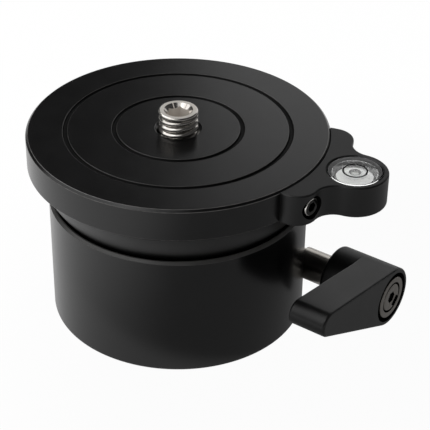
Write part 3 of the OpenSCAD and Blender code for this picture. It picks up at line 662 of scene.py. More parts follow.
plate_corners = [(STUD_R, PLATE_LOW, 0), (NUT_ROOM_R, PLATE_LOW, 0), (NUT_ROOM_R, SPIGOT_TOP, 0),
                 (SPIGOT_R, SPIGOT_TOP, 0), (SPIGOT_R, PLATE_LOW, 0), (PLATE_R - LOW_BEVEL, PLATE_LOW, 0.2),
                 (PLATE_R, PLATE_LOW + LOW_BEVEL, 0.2), (PLATE_R, PLATE_TOP - TOP_BEVEL, 0.25),
                 (PLATE_R - TOP_BEVEL, PLATE_TOP, 0.25)]
plate_corners += groove(RING_OUT) + groove(RING_IN)
plate_corners += [(STUD_R + SINK, PLATE_TOP, 0.15), (STUD_R, PLATE_TOP - SINK, 0)]
plate = lathe("top_plate_turned", plate_corners, 256)
dress(plate, black_upright, "platform", "black_anodised", "top_plate")
second_finish(plate, black_painted_shade, in_groove_shade)

# %% [markdown]
# ## Stud with its thread
# A 3/8 inch stud has sixteen threads to the inch. A thread is a cylinder whose radius depends on angle and
# height: r = outer radius - depth * (1 - tooth), where tooth rises and falls once in each pitch and the
# phase moves up by one pitch in one turn. The thread runs out into a rounded end, and the hex socket is
# the same kind of grid with r = flat / cos(angle from the middle of a side).

# %% Stud
THREAD_DEEP, THREAD_PHASE = 0.82, 0.62
END_ROUND, COLLAR, RUN_OUT = 0.45, 0.7, 0.3
HEX_AF, MOUTH_R, MOUTH_SLOPE, SOCKET_DEEP = 5.0, 3.5, 1.0, 4.5
STUD_LOW, LOW_CONE = PLATE_LOW - 6, 0.9


def tooth_height(phase):
    """A rolled tooth over one pitch, |sin(pi * phase)| to a power: 1 on the crest, 0 in the root."""
    return np.abs(np.sin(np.pi * phase)) ** 0.8


def hex_radius(a, af):
    """Distance to the side of a hexagon whose corners lie at angle 0, 60 and so on."""
    return af / 2 / np.cos((a % (np.pi / 3)) - np.pi / 6)


def stud_patch():
    """The thread's radius by angle and height, cut back to a quarter round at its top and a cone at its foot.

    Rows for the mouth, the hex and the drilled floor of the socket follow it inwards and down."""
    a = round_angles(144)
    s = np.linspace(0, 1, 8)
    z = np.concatenate([np.arange(STUD_LOW, STUD_TOP - END_ROUND - HOLD, PITCH_UNC / 18),
                        STUD_TOP - END_ROUND * (1 - np.sin(s * np.pi / 2))])[None, :]
    r = STUD_R - THREAD_DEEP * (1 - tooth_height(z / PITCH_UNC - a / (2 * np.pi) + THREAD_PHASE))
    r = r + (STUD_R - r) * np.clip((z - STUD_TOP + COLLAR + RUN_OUT) / RUN_OUT, 0, 1)
    over = np.clip((z - STUD_TOP) / END_ROUND + 1, 0, 1)
    r = np.minimum(r, STUD_R - END_ROUND * (1 - np.sqrt(1 - over ** 2)))
    r = np.minimum(r, STUD_R - np.clip(STUD_LOW + LOW_CONE - z, 0, 2))
    corner, one = hex_radius(a, HEX_AF), np.ones_like(a)
    meet = STUD_TOP - MOUTH_SLOPE * (MOUTH_R - corner)
    floor = STUD_TOP - SOCKET_DEEP
    lip, top = (r[:, -1:] + MOUTH_R) / 2, STUD_TOP * one
    r = np.hstack([0 * one, r, lip, MOUTH_R * one, corner, corner, 0.5 * corner, 0 * one])
    z = np.hstack([STUD_LOW * one, one * z, top, top, meet, floor * one, (floor - 0.4) * one,
                   (floor - 0.7) * one])
    return patch(polar(r, a, z))


stud = make_mesh("stud_threaded", [stud_patch()])
dress(stud, steel_upright, "platform", "stainless", "head_stud")
second_finish(stud, broached, lambda p: (np.hypot(p[:, 0], p[:, 1]) < 3) & (p[:, 2] > STUD_LOW + 1))
second_finish(stud, faced, lambda p: p[:, 2] > STUD_TOP - 0.02)

# %% [markdown]
# ## Level arm
# The arm is a flat bracket that hugs the plate: a round head for the level, an ear at each side, and a
# hollow waist between them. Its outline is a chain of arcs, and a point near the plate sees all of it, so
# one grid of rays from there can run from the middle of the underside, out, up over the rounded edges, in
# to the hole and down to its floor.

# %% Outline of the level arm
ARM_LOW, ARM_TOP = PLATE_LOW + 0.2, PLATE_TOP - 0.3
HEAD_R, EAR_R, WAIST_R = 7.85, 5.0, 5.0
EAR_TURN = math.radians(18.3)
EAR_X = PLATE_R + 0.45


def arc_points(centre, radius, a0, a1, count, side):
    """Points on an arc and their outward directions; side is -1 where the arc is hollow."""
    out = directions(np.linspace(a0, a1, count))
    return np.asarray(centre) + radius * out, side * out


def arm_outline():
    """The arm's closed outline from above, its outward directions, and how much its edge is rounded there.

    The waist's circle touches the ear and the head from outside, so its centre is where circles of their
    radii plus its own cross."""
    head = np.array([VIAL_X, 0.0])
    ear = EAR_X * directions(EAR_TURN)
    span = ear - head
    gap = np.linalg.norm(span)
    along = ((HEAD_R + WAIST_R) ** 2 - (EAR_R + WAIST_R) ** 2 + gap ** 2) / (2 * gap)
    aside = math.sqrt((HEAD_R + WAIST_R) ** 2 - along ** 2)
    waist = head + along / gap * span + aside / gap * np.array([span[1], -span[0]])
    meet = EAR_TURN + math.acos((EAR_X ** 2 + PLATE_R ** 2 - EAR_R ** 2) / (2 * EAR_X * PLATE_R))
    tip = PLATE_R * directions(meet) - ear
    to_ear, to_head = (math.atan2(*(end - waist)[::-1]) % (2 * math.pi) for end in (ear, head))
    runs = [arc_points(head, HEAD_R, 0, to_head - math.pi, 30, 1),
            arc_points(waist, WAIST_R, to_head, to_ear, 18, -1),
            arc_points(ear, EAR_R, to_ear - math.pi, math.atan2(tip[1], tip[0]), 30, 1)]
    half, out = (np.vstack([runs[0][k], runs[1][k][1:], runs[2][k][1:]]) for k in (0, 1))
    round_off = np.minimum(1, np.arange(len(half))[::-1] / 5)
    hug, hug_out = arc_points((0, 0), PLATE_R + 0.02, meet, -meet, 40, -1)
    flip = np.array([1, -1])
    points = np.vstack([half, hug[1:-1], (half * flip)[:0:-1]])
    outs = np.vstack([out, hug_out[1:-1], (out * flip)[:0:-1]])
    return points, outs, np.concatenate([round_off, np.zeros(len(hug) - 2), round_off[:0:-1]])


print("arm outline", len(arm_outline()[0]), "points")

# %% Level arm
VIAL_TOP, VIAL_H, VIAL_R, VIAL_HOLE_R = ARM_TOP - 0.1, 6.2, 6.35, 6.5
ARM_EDGE, HOLE_BEVEL = 0.45, 0.3
ARM_MIDDLE = np.array([41.4, 0.0])
CAP_R, CAP_H, SINK_R = 2.25, 2.2, 2.9
CAP_X = EAR_X + EAR_R - CAP_H - 0.5
EAR_Z = (PLATE_LOW + PLATE_TOP) / 2
SIDES = (-1, 1)


def hole_points(ray, radius):
    """Where rays from the arm's middle meet a circle about the level: t = -b + sqrt(b * b - c)."""
    off = ARM_MIDDLE - np.array([VIAL_X, 0.0])
    b, c = ray @ off, off @ off - radius ** 2
    return ARM_MIDDLE + (np.sqrt(b * b - c) - b)[:, None] * ray


def arm_patch():
    """Rows along rays from the arm's middle: out below, up the wall, in above, and down the hole.

    A quarter round of radius e lies e * (1 - sin s) inside the outline and e * (1 - cos s) from the face."""
    points, outs, weight = arm_outline()
    ray = points - ARM_MIDDLE
    ray = ray / np.linalg.norm(ray, axis=1)[:, None]
    quarter = np.linspace(0, np.pi / 2, 6)

    def rim(inset, z, edge=0.0):
        """The outline, moved in by inset times its weight."""
        return points - outs * (inset * weight)[:, None], z, edge * weight

    middle = ARM_MIDDLE + 0 * ray
    rows = [(middle, ARM_LOW, 0), (middle + 2 * ray, ARM_LOW, 0), rim(ARM_EDGE + HOLD, ARM_LOW)]
    rows += [rim(ARM_EDGE * (1 - np.sin(s)), ARM_LOW + ARM_EDGE * (1 - np.cos(s)), np.sin(2 * s))
             for s in quarter]
    rows += [rim(0, z) for z in np.linspace(ARM_LOW + ARM_EDGE + HOLD, ARM_TOP - ARM_EDGE - HOLD, 8)]
    rows += [rim(ARM_EDGE * (1 - np.cos(s)), ARM_TOP - ARM_EDGE * (1 - np.sin(s)), np.sin(2 * s))
             for s in quarter]
    rows += [rim(ARM_EDGE + HOLD, ARM_TOP), (hole_points(ray, VIAL_HOLE_R + HOLE_BEVEL + 0.05), ARM_TOP, 0),
             (hole_points(ray, VIAL_HOLE_R + HOLE_BEVEL), ARM_TOP, 0),
             (hole_points(ray, VIAL_HOLE_R), ARM_TOP - HOLE_BEVEL, 0.4),
             (hole_points(ray, VIAL_HOLE_R), VIAL_TOP - VIAL_H, 0), (middle, VIAL_TOP - VIAL_H, 0)]
    return row_patch(rows, False)


def on_ear(side):
    """A placing function that lays a piece turned about Z along the axis of the screw in one ear."""
    def place(points):
        """z goes outwards, x across and y up, then all turns to the ear."""
        x, y, z = np.moveaxis(points, -1, 0)
        return spin(np.stack([z, x, y + EAR_Z], -1), ARM_TURN + side * EAR_TURN)

    return place


def in_sink_shade(points):
    """Whether points lie in one of the two counterbores, which get the painted shade."""
    inside = np.zeros(len(points), bool)
    for side in SIDES:
        along, aside, z = spin(points, -ARM_TURN - side * EAR_TURN).T
        off = np.hypot(aside, z - EAR_Z)
        inside |= (off < SINK_R + 0.01) & (along > CAP_X - 0.1) & (along < CAP_X + CAP_H + 0.3)
    return inside


arm = make_mesh("level_bracket", [arm_patch()], on_arm)
for side in SIDES:
    drill(arm, rod(SINK_R, CAP_X, CAP_X + 9, on_ear(side), 48))
dress(arm, black_blasted, "platform", "black_anodised", "level_arm")
second_finish(arm, black_painted_shade, in_sink_shade)

# %% Screws of the level arm
SHANK_L, CAP_EDGE, ARM_SHANK_R, ARM_HEX = 7, 0.3, 1.25, 2.0


def cap_screw_patch(seat, top, shank_r, head_r, af):
    """A socket screw along Z: shank, head with a quarter-round edge, hex socket half as deep."""
    a = round_angles(72)
    s = np.linspace(0, np.pi / 2, 6)
    arc_r, arc_z = head_r - CAP_EDGE * (1 - np.cos(s)), top - CAP_EDGE * (1 - np.sin(s))
    corner, one, floor = hex_radius(a, af), np.ones_like(a), (top + seat) / 2
    r = np.hstack([one * [0, shank_r, shank_r, head_r, *arc_r], corner * 1.12, corner, corner, 0 * one])
    z = np.array([seat - SHANK_L, seat - SHANK_L, seat, seat, *arc_z, top, top - 0.1, floor, floor - 0.2])
    wear_and_sheen = np.zeros(len(z))
    wear_and_sheen[4:4 + len(s)] = 2 * np.sin(2 * s)
    return patch(polar(r, a, z), edge=wear_and_sheen)


points, faces, wear_and_sheen = cap_screw_patch(CAP_X, CAP_X + CAP_H, ARM_SHANK_R, CAP_R, ARM_HEX)
screws = make_mesh("level_cap_screws", [(on_ear(side)(points), faces, wear_and_sheen) for side in SIDES])
dress(screws, cap_shade_finish, "platform", "stainless", "level_screws")

# %% [markdown]
# ## Bubble level
# The vial is a clear cup closed by a white disc, full of spirit, with a bubble under a slightly domed top
# and a black ring on it. The cup's top edge is bevelled, and that bevel makes the bright line round the
# level. Hair gaps between the pieces keep their faces apart, so that light passes each of them once.

# %% Cup and white disc of the level
VIAL_LOW, VIAL_IN_R = VIAL_TOP - VIAL_H, VIAL_R - 0.9
DOME_R, LENS_T = 45.0, 0.7
DOME_TOP = VIAL_TOP - LENS_T
DOME_EDGE = angle_out(DOME_R, VIAL_IN_R)
WHITE_T, VIAL_BEVEL = 1.0, 0.12
STEP_R, STEP_TOP = 4.45, VIAL_TOP - 2.3
DISC_ROOM, LENS_ROW_R = 0.01, 2.95


def dome_rows(inset, a0, a1, count):
    """Rows on the dome, by degrees from its top: (r sin a, centre + r cos a)."""
    a, r = np.radians(np.linspace(a0, a1, count)), DOME_R - inset
    return [(r * s, DOME_TOP - DOME_R + r * c, 0) for s, c in zip(np.sin(a), np.cos(a))]


def in_wall(points):
    """Whether points lie on the side walls of the vial, inside or outside, below its top."""
    off = points - on_vial(np.zeros(3))
    return (np.hypot(off[:, 0], off[:, 1]) > VIAL_IN_R - 0.1) & (points[:, 2] < VIAL_TOP - 0.8)


case_corners = dome_rows(0, 0, DOME_EDGE, 8)
case_corners += [(VIAL_IN_R, VIAL_LOW, 0), (VIAL_R, VIAL_LOW, 0.1), (VIAL_R, VIAL_TOP - VIAL_BEVEL, 0.05),
                 (VIAL_R - VIAL_BEVEL, VIAL_TOP, 0.05), (LENS_ROW_R, VIAL_TOP, 0), (0, VIAL_TOP, 0)]
case = lathe("vial_cup", case_corners, place=on_vial)
dress(case, acrylic, "platform", "clear", "vial_case")
# Painted shade: the cup's side walls are an opaque dark grey that stands for the dark hole of the arm seen
# through them.
second_finish(case, vial_wall_shade, in_wall)
white_r = VIAL_IN_R - DISC_ROOM
white_corners = [(0, VIAL_LOW, 0), (white_r, VIAL_LOW, 0), (white_r, VIAL_LOW + WHITE_T, 0),
                 (STEP_R, VIAL_LOW + WHITE_T, 0), (STEP_R, STEP_TOP, 0), (0, STEP_TOP, 0)]
white_disc = lathe("vial_white_disc", white_corners, place=on_vial)
dress(white_disc, white_floor, "platform", "white", "vial_base")

# %% Spirit, bubble and ring of the level
GAP = 0.015
BUBBLE_R, BUBBLE_H = 1.4, 0.6
BUBBLE_SHADE = np.array([0.2, -0.35, 0.0])
MARK_R, MARK_W, MARK_LOW, MARK_TOP = 2.78, 0.42, VIAL_TOP + 0.005, VIAL_TOP + 0.03
spirit_low = VIAL_LOW + WHITE_T + GAP
spirit_corners = [(0, STEP_TOP + GAP, 0), (STEP_R + GAP, STEP_TOP + GAP, 0), (STEP_R + GAP, spirit_low, 0),
                  (VIAL_IN_R - GAP, spirit_low, 0)]
spirit_corners += dome_rows(GAP, DOME_EDGE - 0.03, 0, 8)
liquid = lathe("vial_spirit", spirit_corners, place=on_vial)
dress(liquid, spirit, "platform", "liquid", "vial_liquid")
bubble_ball = (BUBBLE_R ** 2 + BUBBLE_H ** 2) / (2 * BUBBLE_H)
bubble_corners = arc_rows(DOME_TOP - 2 * GAP - BUBBLE_H + bubble_ball, bubble_ball, 0,
                          angle_out(bubble_ball, BUBBLE_R), 14)
bubble_corners += dome_rows(2 * GAP, math.degrees(BUBBLE_R / DOME_R), 0, 6)
bubble = lathe("vial_air", bubble_corners, 64, on_vial)
# The bubble's dark rim is painted shade.
dress(bubble, bubble_painted_rim("bubble_air_painted_rim", on_vial(BUBBLE_SHADE), BUBBLE_R), "platform", "air", "vial_bubble")
mark_in, mark_out = MARK_R - MARK_W / 2, MARK_R + MARK_W / 2
mark_corners = [(mark_in, MARK_LOW, 0), (mark_out, MARK_LOW, 0), (mark_out, MARK_TOP, 0),
                (mark_in, MARK_TOP, 0)]
ring = lathe("vial_target_ring", mark_corners, place=on_vial)
dress(ring, mark_black, "platform", "mark", "vial_mark")

# %% [markdown]
# ## Clamp shaft
# The shaft is turned steel: a journal deep in the housing, an eccentric under the brake pin, the thick
# bare length that shows, and a spigot inside the lever. The eccentric is cut with a ring whose hole sits
# off the axis.

# %% Clamp shaft
JOURNAL_IN, JOURNAL_BEVEL = 16.38, 0.4
SPLINE_IN, SPLINE_END = BOSS_IN + 1, BOSS_IN + 4.7
DISC_OUT, DISC_T, SCREW_H = BOSS_OUT - 0.2, 2.2, 1.3
DISC_IN, WELL_X = DISC_OUT - DISC_T, DISC_OUT - SCREW_H
NOSE_R, SCREW_SHANK_R = 2.7, 1.5
CAM_IN, CAM_OUT, CAM_R = 19.98, 23.88, 2.4
CAM_OFF, CAM_DIR = 0.12 / math.sin(math.radians(15)), math.radians(165)


def cam_ring():
    """A ring round the shaft whose inner wall is the eccentric: inner points = offset + CAM_R * direction."""
    out = directions(round_angles(96)[:, 0])
    inner, outer = CAM_R * out + CAM_OFF * directions(CAM_DIR), (SHAFT_R + 1) * out
    rows = [(outer, CAM_IN, 0), (outer, CAM_OUT, 0), (inner, CAM_OUT, 0), (inner, CAM_IN, 0)]
    return make_mesh("cam_cutter", [row_patch(rows, True)], on_shaft)


hole_end = WELL_X - SHANK_L
shaft_corners = [(0, JOURNAL_IN, 0), (SHAFT_R - JOURNAL_BEVEL, JOURNAL_IN, 0),
                 (SHAFT_R, JOURNAL_IN + JOURNAL_BEVEL, 0), (SHAFT_R, BARE_IN, 0), (BARE_R, BARE_IN, 0.15),
                 (BARE_R, SPLINE_IN, 0.15), (SHAFT_R, SPLINE_IN, 0), (SHAFT_R, SPLINE_END, 0.2),
                 (NOSE_R, SPLINE_END, 0), (NOSE_R, DISC_IN, 0), (SCREW_SHANK_R, DISC_IN, 0),
                 (SCREW_SHANK_R, hole_end, 0), (0, hole_end, 0)]
shaft = lathe("clamp_shaft_turned", shaft_corners, 96, on_shaft)
drill(shaft, cam_ring())
dress(shaft, steel_shaft, "screw", "stainless", "clamp_shaft")

# %% [markdown]
# ## Lever
# The lever is a boss with an arm whose outline is a drop: the boss's circle, a small circle at the tip,
# and the two lines that touch both. Every point of the outline is centre + radius * direction, where
# centre and radius slide from boss to tip along the lines, so moving a point inwards along its direction
# rounds the edge by the same amount everywhere. One grid runs from the inner end of the boss, along it,
# out over the arm's inner face, across, and back into the chamber of the end disc.

# %% Outline and teeth of the lever
TIP_R, LEVER_L = 3.1, 30.7
LEVER_DIR = math.radians(180 - 18.2)
LEVER_LEAN = math.acos((BOSS_R - TIP_R) / LEVER_L)
TOOTH_IN, TOOTH_OUT, TEETH = 4.42, 5.02, 18


def drop_outline():
    """The drop's outline, its directions, the weight of its inner rounding, and boss angles.

    A point slides from boss (0) to tip (1): slide * axis + (BOSS_R + slide * (TIP_R - BOSS_R)) *
    direction. The boss angles give each point a partner on the boss's circle."""
    flank, tip, hub = 26, 24, 72
    a0, a1 = LEVER_DIR - LEVER_LEAN, LEVER_DIR + LEVER_LEAN
    full = 2 * np.pi
    s = np.linspace(0, 1, flank) ** 1.3
    round_boss = np.linspace(a1, a0 + full, hub)
    out = directions(np.concatenate([round_boss, np.full(flank - 2, a0 + full),
                                     np.linspace(a0, a1, tip) + full, np.full(flank - 2, a1 + full)]))
    slide = np.concatenate([np.zeros(hub), s[1:-1], np.ones(tip), s[::-1][1:-1]])
    radius = BOSS_R + slide * (TIP_R - BOSS_R)
    points = slide[:, None] * LEVER_L * directions(LEVER_DIR) + radius[:, None] * out
    beyond = 2 * flank + tip - 4
    under_arm = a0 + full + 2 * LEVER_LEAN * np.arange(1, beyond + 1) / (beyond + 1)
    return points, out, np.clip(slide / 0.16, 0, 1), np.concatenate([round_boss, under_arm])


def tooth_bore(a):
    """Radius of the toothed bore: straight flanks from its outer to its inner radius, per tooth."""
    off = np.abs((np.degrees(a) + 180 / TEETH) % (360 / TEETH) - 180 / TEETH)
    return np.interp(off, [3.92, 8.4], [TOOTH_OUT, TOOTH_IN])


print("lever outline", len(drop_outline()[0]), "points,", TEETH, "teeth")

# %% Lever
ARM_IN = BOSS_OUT - 9.7
LEVER_EDGE, BOSS_EDGE = 0.6, 0.9
MOUTH_BORE, MOUTH_DEEP, MOUTH_BEVEL = 5.14, 1, 0.3
CHAMBER_R, CHAMBER_BEVEL, WEB_IN, WEB_T, WEB_BORE = 6.5, 0.06, SPLINE_END + 0.05, 1.7, 2.82
WEB_OUT = WEB_IN + WEB_T


def lever_patch():
    """Rows round the lever: mouth, boss, inner face, wall, outer face, chamber, web and toothed bore.

    Each rounded edge is a quarter circle, and the flat faces are straight mixes of two outlines."""
    points, out, weight, boss_angles = drop_outline()
    ring = directions(boss_angles)
    teeth = tooth_bore(boss_angles)[:, None] * ring
    quarter = np.linspace(0, np.pi / 2, 7)
    inner = points - out * (LEVER_EDGE * weight)[:, None]
    outer = points - out * (LEVER_EDGE + HOLD)
    rows = [(MOUTH_BORE * ring, BOSS_IN + MOUTH_DEEP, 0), (MOUTH_BORE * ring, BOSS_IN + MOUTH_BEVEL, 0),
            ((MOUTH_BORE + MOUTH_BEVEL) * ring, BOSS_IN, 0), ((BOSS_R - BOSS_EDGE - HOLD) * ring, BOSS_IN, 0)]
    rows += [((BOSS_R - BOSS_EDGE * (1 - np.sin(s))) * ring, BOSS_IN + BOSS_EDGE * (1 - np.cos(s)),
              np.sin(2 * s)) for s in quarter]
    rows += [(BOSS_R * ring, BOSS_IN + BOSS_EDGE + HOLD, 0), (BOSS_R * ring, ARM_IN - HOLD, 0)]
    rows += [((1 - mix) * BOSS_R * ring + mix * inner, ARM_IN, 0) for mix in (0, 0.02, 0.3, 0.6, 0.98)]
    rows += [(points - out * (LEVER_EDGE * weight * (1 - np.sin(s)))[:, None],
              ARM_IN + LEVER_EDGE * weight * (1 - np.cos(s)), np.sin(2 * s) * weight) for s in quarter]
    rows += [(points, ARM_IN + LEVER_EDGE + HOLD, 0), (points, BOSS_OUT - LEVER_EDGE - HOLD, 0)]
    rows += [(points - out * LEVER_EDGE * (1 - np.cos(s)), BOSS_OUT - LEVER_EDGE * (1 - np.sin(s)),
              np.sin(2 * s)) for s in quarter]
    lip = (CHAMBER_R + CHAMBER_BEVEL) * ring
    rows += [((1 - mix) * outer + mix * lip, BOSS_OUT, 0) for mix in (0, 0.5, 1)]
    rows += [(CHAMBER_R * ring, BOSS_OUT - CHAMBER_BEVEL, 0), (CHAMBER_R * ring, WEB_OUT, 0),
             (WEB_BORE * ring, WEB_OUT, 0), (WEB_BORE * ring, WEB_IN, 0), (teeth, WEB_IN, 0),
             (teeth, BOSS_IN + MOUTH_DEEP, 0)]
    return row_patch(rows, True)


lever = make_mesh("lever_drop", [lever_patch()], on_shaft)
dress(lever, black_blasted, "lever", "black_anodised", "lever_handle")

# %% [markdown]
# ## End of the lever
# A dark nickelled disc closes the lever's chamber. It holds the spring down, and a socket screw holds it.
# The screw's head has one slot for a pin spanner beside its socket, milled after turning.

# %% End disc and screw
END_R, DISC_BORE, HEAD_WELL_R, SCREW_R, END_FACE = 5.4, 1.62, 4.0, 3.55, BOSS_OUT - 0.02
HEAD_HEX, SHADE_DEEP = 2.7, 0.28
SLOT_TURN, SLOT_NEAR, SLOT_HALF = math.radians(-47), 1.85, 1.4


def slot_cutter():
    """A square bar beside the socket of the screw's head: a four-sided tube with two lids."""
    u = np.array([SLOT_NEAR, HEAD_WELL_R, HEAD_WELL_R, SLOT_NEAR])
    v = np.array([-SLOT_HALF, -SLOT_HALF, SLOT_HALF, SLOT_HALF])
    ends = (WELL_X + 0.1, DISC_OUT + 1)
    tube = np.stack([spin(np.stack([u, v, np.full(4, z)], -1), SLOT_TURN) for z in ends], 1)
    lids = [patch(np.stack([tube[:2, k], tube[[3, 2], k]], 1), False) for k in (0, 1)]
    return make_mesh("slot_cutter", [patch(tube), *lids], on_shaft)


def sunk_shade(points):
    """Whether points lie in the socket, the slot or the gap round the head, which get the painted shade."""
    off = np.hypot(points[:, 1] - SHAFT_OFF, points[:, 2] - SHAFT_Z)
    return (points[:, 0] < END_FACE - SHADE_DEEP) & (off < HEAD_WELL_R + 0.01)


disc_corners = [(DISC_BORE, DISC_IN, 0), (END_R, DISC_IN, 0.1), (END_R, END_FACE, 0.2),
                (HEAD_WELL_R, END_FACE, 0.08), (HEAD_WELL_R, WELL_X, 0), (DISC_BORE, WELL_X, 0)]
end_disc = lathe("lever_end_disc", disc_corners, place=on_shaft)
dress(end_disc, gunmetal_disc, "screw", "gunmetal", "lever_washer")
second_finish(end_disc, black_painted_shade, sunk_shade)
head = cap_screw_patch(WELL_X, END_FACE, SCREW_SHANK_R, SCREW_R, HEAD_HEX)
end_screw = make_mesh("lever_end_screw", [head], on_shaft)
drill(end_screw, slot_cutter())
dress(end_screw, gunmetal_disc, "screw", "gunmetal", "lever_screw")
second_finish(end_screw, black_painted_shade, sunk_shade)

# %% [markdown]
# ## Tripod thread
# Under the base, the steel insert has a real 3/8 inch thread. It is the stud's formula turned inside out:
# the bore's radius swings between the tapping size and the thread's outer size.

# %% Tripod thread
INSERT_R, INSERT_TOP, FLANGE_R, FLANGE_T = 6.2, 7.44, 8.25, 1.2
TAP_R, LEAD_IN = 3.97, 0.25


def insert_patch():
    """The bore r = TAP_R + (STUD_R - TAP_R) * tooth with a cone at each end, then flange and bush."""
    a = round_angles(128)
    z = np.linspace(0, INSERT_TOP, 84)
    r = TAP_R + (STUD_R - TAP_R) * tooth_height(z / PITCH_UNC - a / (2 * np.pi))
    r = np.maximum(r, STUD_R + LEAD_IN - np.minimum(z, INSERT_TOP - z))
    flange = INSERT_TOP - FLANGE_T
    r = np.hstack([r, np.ones_like(a) * [FLANGE_R, FLANGE_R, INSERT_R, INSERT_R]])
    return patch(polar(r, a, np.append(z, [INSERT_TOP, flange, flange, 0])), True, True)


insert = make_mesh("tripod_thread_insert", [insert_patch()])
dress(insert, steel_upright, "base", "stainless", "thread_insert")

# %% [markdown]
# ## Spring
# The spring inside the lever is a tube round a helix: a circle of wire carried along centre = (R cos t, R
# sin t, rise). It is hidden, but it is there when the lever is taken apart.

# %% Spring
COIL_R, WIRE_R, COIL_TURNS = 4.3, 0.25, 3.5
COIL_LOW, COIL_HIGH = WEB_OUT + 0.05, DISC_IN - 0.05


def coil_patch():
    """Points R + w cos k from the axis at height rise + w sin k, with a middle point at each end."""
    t = np.linspace(0, 2 * np.pi * COIL_TURNS, 200)[:, None]
    k = np.linspace(0, 2 * np.pi, 12, endpoint=False)[None, :]
    rise = COIL_LOW + WIRE_R + (COIL_HIGH - COIL_LOW - 2 * WIRE_R) * t / t[-1]
    tube = polar(COIL_R + WIRE_R * np.cos(k), t, rise + WIRE_R * np.sin(k))
    first, last = (np.broadcast_to(tube[[i]].mean(1, keepdims=True), (1, 12, 3)) for i in (0, -1))
    return patch(np.concatenate([first, tube, last]), False, True)


coil = make_mesh("lever_coil", [coil_patch()], on_shaft)
coil.data.materials.append(plain_steel)
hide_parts("lever_spring")
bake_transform(coil)
report(coil)

# %% [markdown]
# ## Solids that stay
# The pieces inside and the screws under the base have the right shape already, so they only get a finish.

# %% Finishes for the solids that stay
STAYING = {
    black_upright: ["base_plate"],
    dark_steel: ["base_screws"],
    plain_steel: ["draw_stem", "disc_springs", "spring_washer", "lock_nut", "stud_nut", "spline_collar"],
    nylon: ["seat_ring", "slide_pad"],
    brass: ["brake_pin"],
}
for finish, names in STAYING.items():
    for name in names:
        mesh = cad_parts[name].data
        mesh.materials.clear()
        mesh.materials.append(finish)
print("kept solids", sum(len(v) for v in STAYING.values()))

# %% [markdown]
# ## Floor, backdrop and light
# The object stands on a plain white floor, and floor and world are an even white to the camera and through
# glass. A dark glossy wall is drawn by what it mirrors, so gloss sees the floor with a painted shadow, a
# dark patch in front of the object and to its right that stands for the floor's shade there, and a painted
# pool of light in a ring round the foot. It sees a dim room too, in which four lamps hang: a box at the back
# left, a broad panel at the back right whose edge runs off over the plate's sheen, one at the left, and a
# weak box above the camera.

# %% White share of floor and world
def from_camera(right, up, back):
    """A point in millimetres to the camera's right, up from the floor, and towards the camera."""
    return spin(np.array([right, -back, up], float), CAMERA_AZIMUTH)


def white_share(wire, even, glossy):
    """How far a ray sees even white: even for camera and transmission rays, glossy for gloss."""
    ray = wire.add("ShaderNodeLightPath").outputs
    seen = wire.calc("MAXIMUM", ray["Is Camera Ray"], ray["Is Transmission Ray"])
    seen = wire.calc("MULTIPLY", seen, even)
    return wire.calc("MAXIMUM", seen, wire.calc("MULTIPLY", ray["Is Glossy Ray"], glossy))


print("camera's right is", from_camera(1, 0, 0).round(3))

# %% Floor
# A painted shadow on the floor in front of the object and to its right, and a painted pool of light round the
# foot; gloss sees them, the camera barely.
PAINTED_SHADOW_AT, PAINTED_SHADOW_SIZE, PAINTED_SHADOW_SOFT = (65.0, 50.0), (130.0, 160.0), (0.5, 1.1)
FLOOR_EVEN, FLOOR_GLOSSY, PAINTED_SHADOW_GLOSSY = 0.97, 0.55, 0.23
WHITE_PAINT, PAINTED_SHADOW_PAINT = 0.81, 0.06
FOOT_PAINTED_LIGHT, FOOT_LIGHT_SOFT, FOOT_LIGHT_AT = 0.62, (34.0, 47.0), from_camera(-12, 0, 0)
FLOOR_HALF, FLOOR_DROP = 6000.0, 0.02


def card_distance(wire):
    """Distance from the painted shadow's middle, measured in its own half sizes: sqrt(u * u + v * v)."""
    place = wire.place()
    squares = []
    for axis, middle, half in zip((from_camera(1, 0, 0), from_camera(0, 0, 1)), PAINTED_SHADOW_AT, PAINTED_SHADOW_SIZE):
        along = wire.add("ShaderNodeVectorMath", place, tuple(axis / MM), operation="DOT_PRODUCT")
        off = wire.calc("MULTIPLY_ADD", along.outputs["Value"], 1 / half, -middle / half)
        squares.append(wire.calc("MULTIPLY", off, off))
    return wire.calc("SQRT", wire.calc("ADD", *squares))


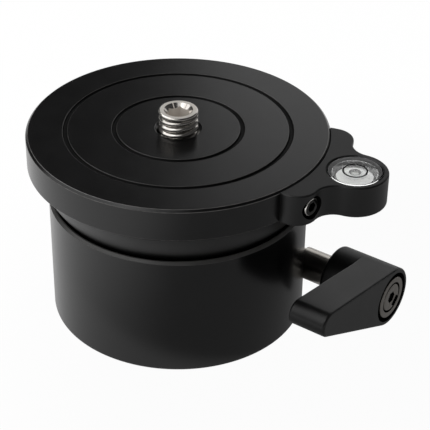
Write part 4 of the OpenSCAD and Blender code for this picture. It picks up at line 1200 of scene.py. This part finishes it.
def floor_finish():
    """White paint with a painted shadow on it, mixed with even white by the share that the ray sees.

    Gloss sees the larger of two soft steps: from the painted shadow to the floor beyond it, and from the
    painted pool of light round the foot to none."""
    made, shader, wire = new_material("floor_white")
    away = card_distance(wire)
    wire.set(shader, {"Base Color": wire.span(away, PAINTED_SHADOW_PAINT, WHITE_PAINT, PAINTED_SHADOW_SOFT, "SMOOTHSTEP"),
                      "Roughness": 0.9, "Specular IOR Level": 0.0})
    card = wire.span(away, PAINTED_SHADOW_GLOSSY, FLOOR_GLOSSY, PAINTED_SHADOW_SOFT, "SMOOTHSTEP")
    foot = wire.span(wire.axis_distance(2, FOOT_LIGHT_AT), FOOT_PAINTED_LIGHT, 0.0, FOOT_LIGHT_SOFT, "SMOOTHSTEP")
    even = wire.add("ShaderNodeEmission")
    mix = wire.add("ShaderNodeMixShader", white_share(wire, FLOOR_EVEN, wire.calc("MAXIMUM", card, foot)),
                   shader.outputs[0], even.outputs[0])
    wire.put(mix.outputs[0], made.node_tree.nodes["Material Output"].inputs["Surface"])
    return made


floor_grid = FLOOR_HALF * np.array([[[-1.0, -1, 0], [-1, 1, 0]], [[1, -1, 0], [1, 1, 0]]])
floor = make_mesh("floor", [patch(floor_grid - [0, 0, FLOOR_DROP], False)])
floor.data.materials.append(floor_finish())
print("floor", 2 * FLOOR_HALF, "mm wide")

# %% World
WORLD_EVEN, WORLD_GLOSSY, WORLD_FILL = 1.0, 0.045, 0.65
world = bpy.data.worlds.new("studio")
world.use_nodes = True
scene.world = world
wire = Wiring(world.node_tree)
fill = wire.calc("MULTIPLY", wire.add("ShaderNodeLightPath").outputs["Is Diffuse Ray"], WORLD_FILL)
strength = wire.calc("MAXIMUM", white_share(wire, WORLD_EVEN, WORLD_GLOSSY), fill)
wire.set(world.node_tree.nodes["Background"], {"Color": (1, 1, 1, 1), "Strength": strength})
print("world fill", WORLD_FILL)

# %% Lamps
LAMPS = {
    "box_back_left": (from_camera(-294, 580, -294), 30, (420, 420), 1.2),
    "panel_back_right": (from_camera(272, 325, -620), 275, (560, 420), 0.56),
    "panel_left": (from_camera(-405, 400, 100), 20, (640, 560), 1.4),
    "box_front": (from_camera(-150, 550, 270), 40, (380, 380), 0.3),
}


def soft_box(name, place, aim_z, size, watts):
    """A rectangular lamp at a place in millimetres, turned to face a height on the object's axis."""
    lamp = bpy.data.lights.new(name, "AREA")
    lamp.shape = "RECTANGLE"
    lamp.size, lamp.size_y = (k * MM for k in size)
    lamp.energy = watts
    made = bpy.data.objects.new(name, lamp)
    scene.collection.objects.link(made)
    back = (Vector(place) - Vector((0, 0, aim_z))).normalized()
    turn = back.to_track_quat("Z", "Y").to_matrix().to_4x4()
    made.matrix_world = Matrix.Translation(Vector(place) * MM) @ turn


for name, setting in LAMPS.items():
    soft_box(name, *setting)
print("lamps", len(LAMPS))
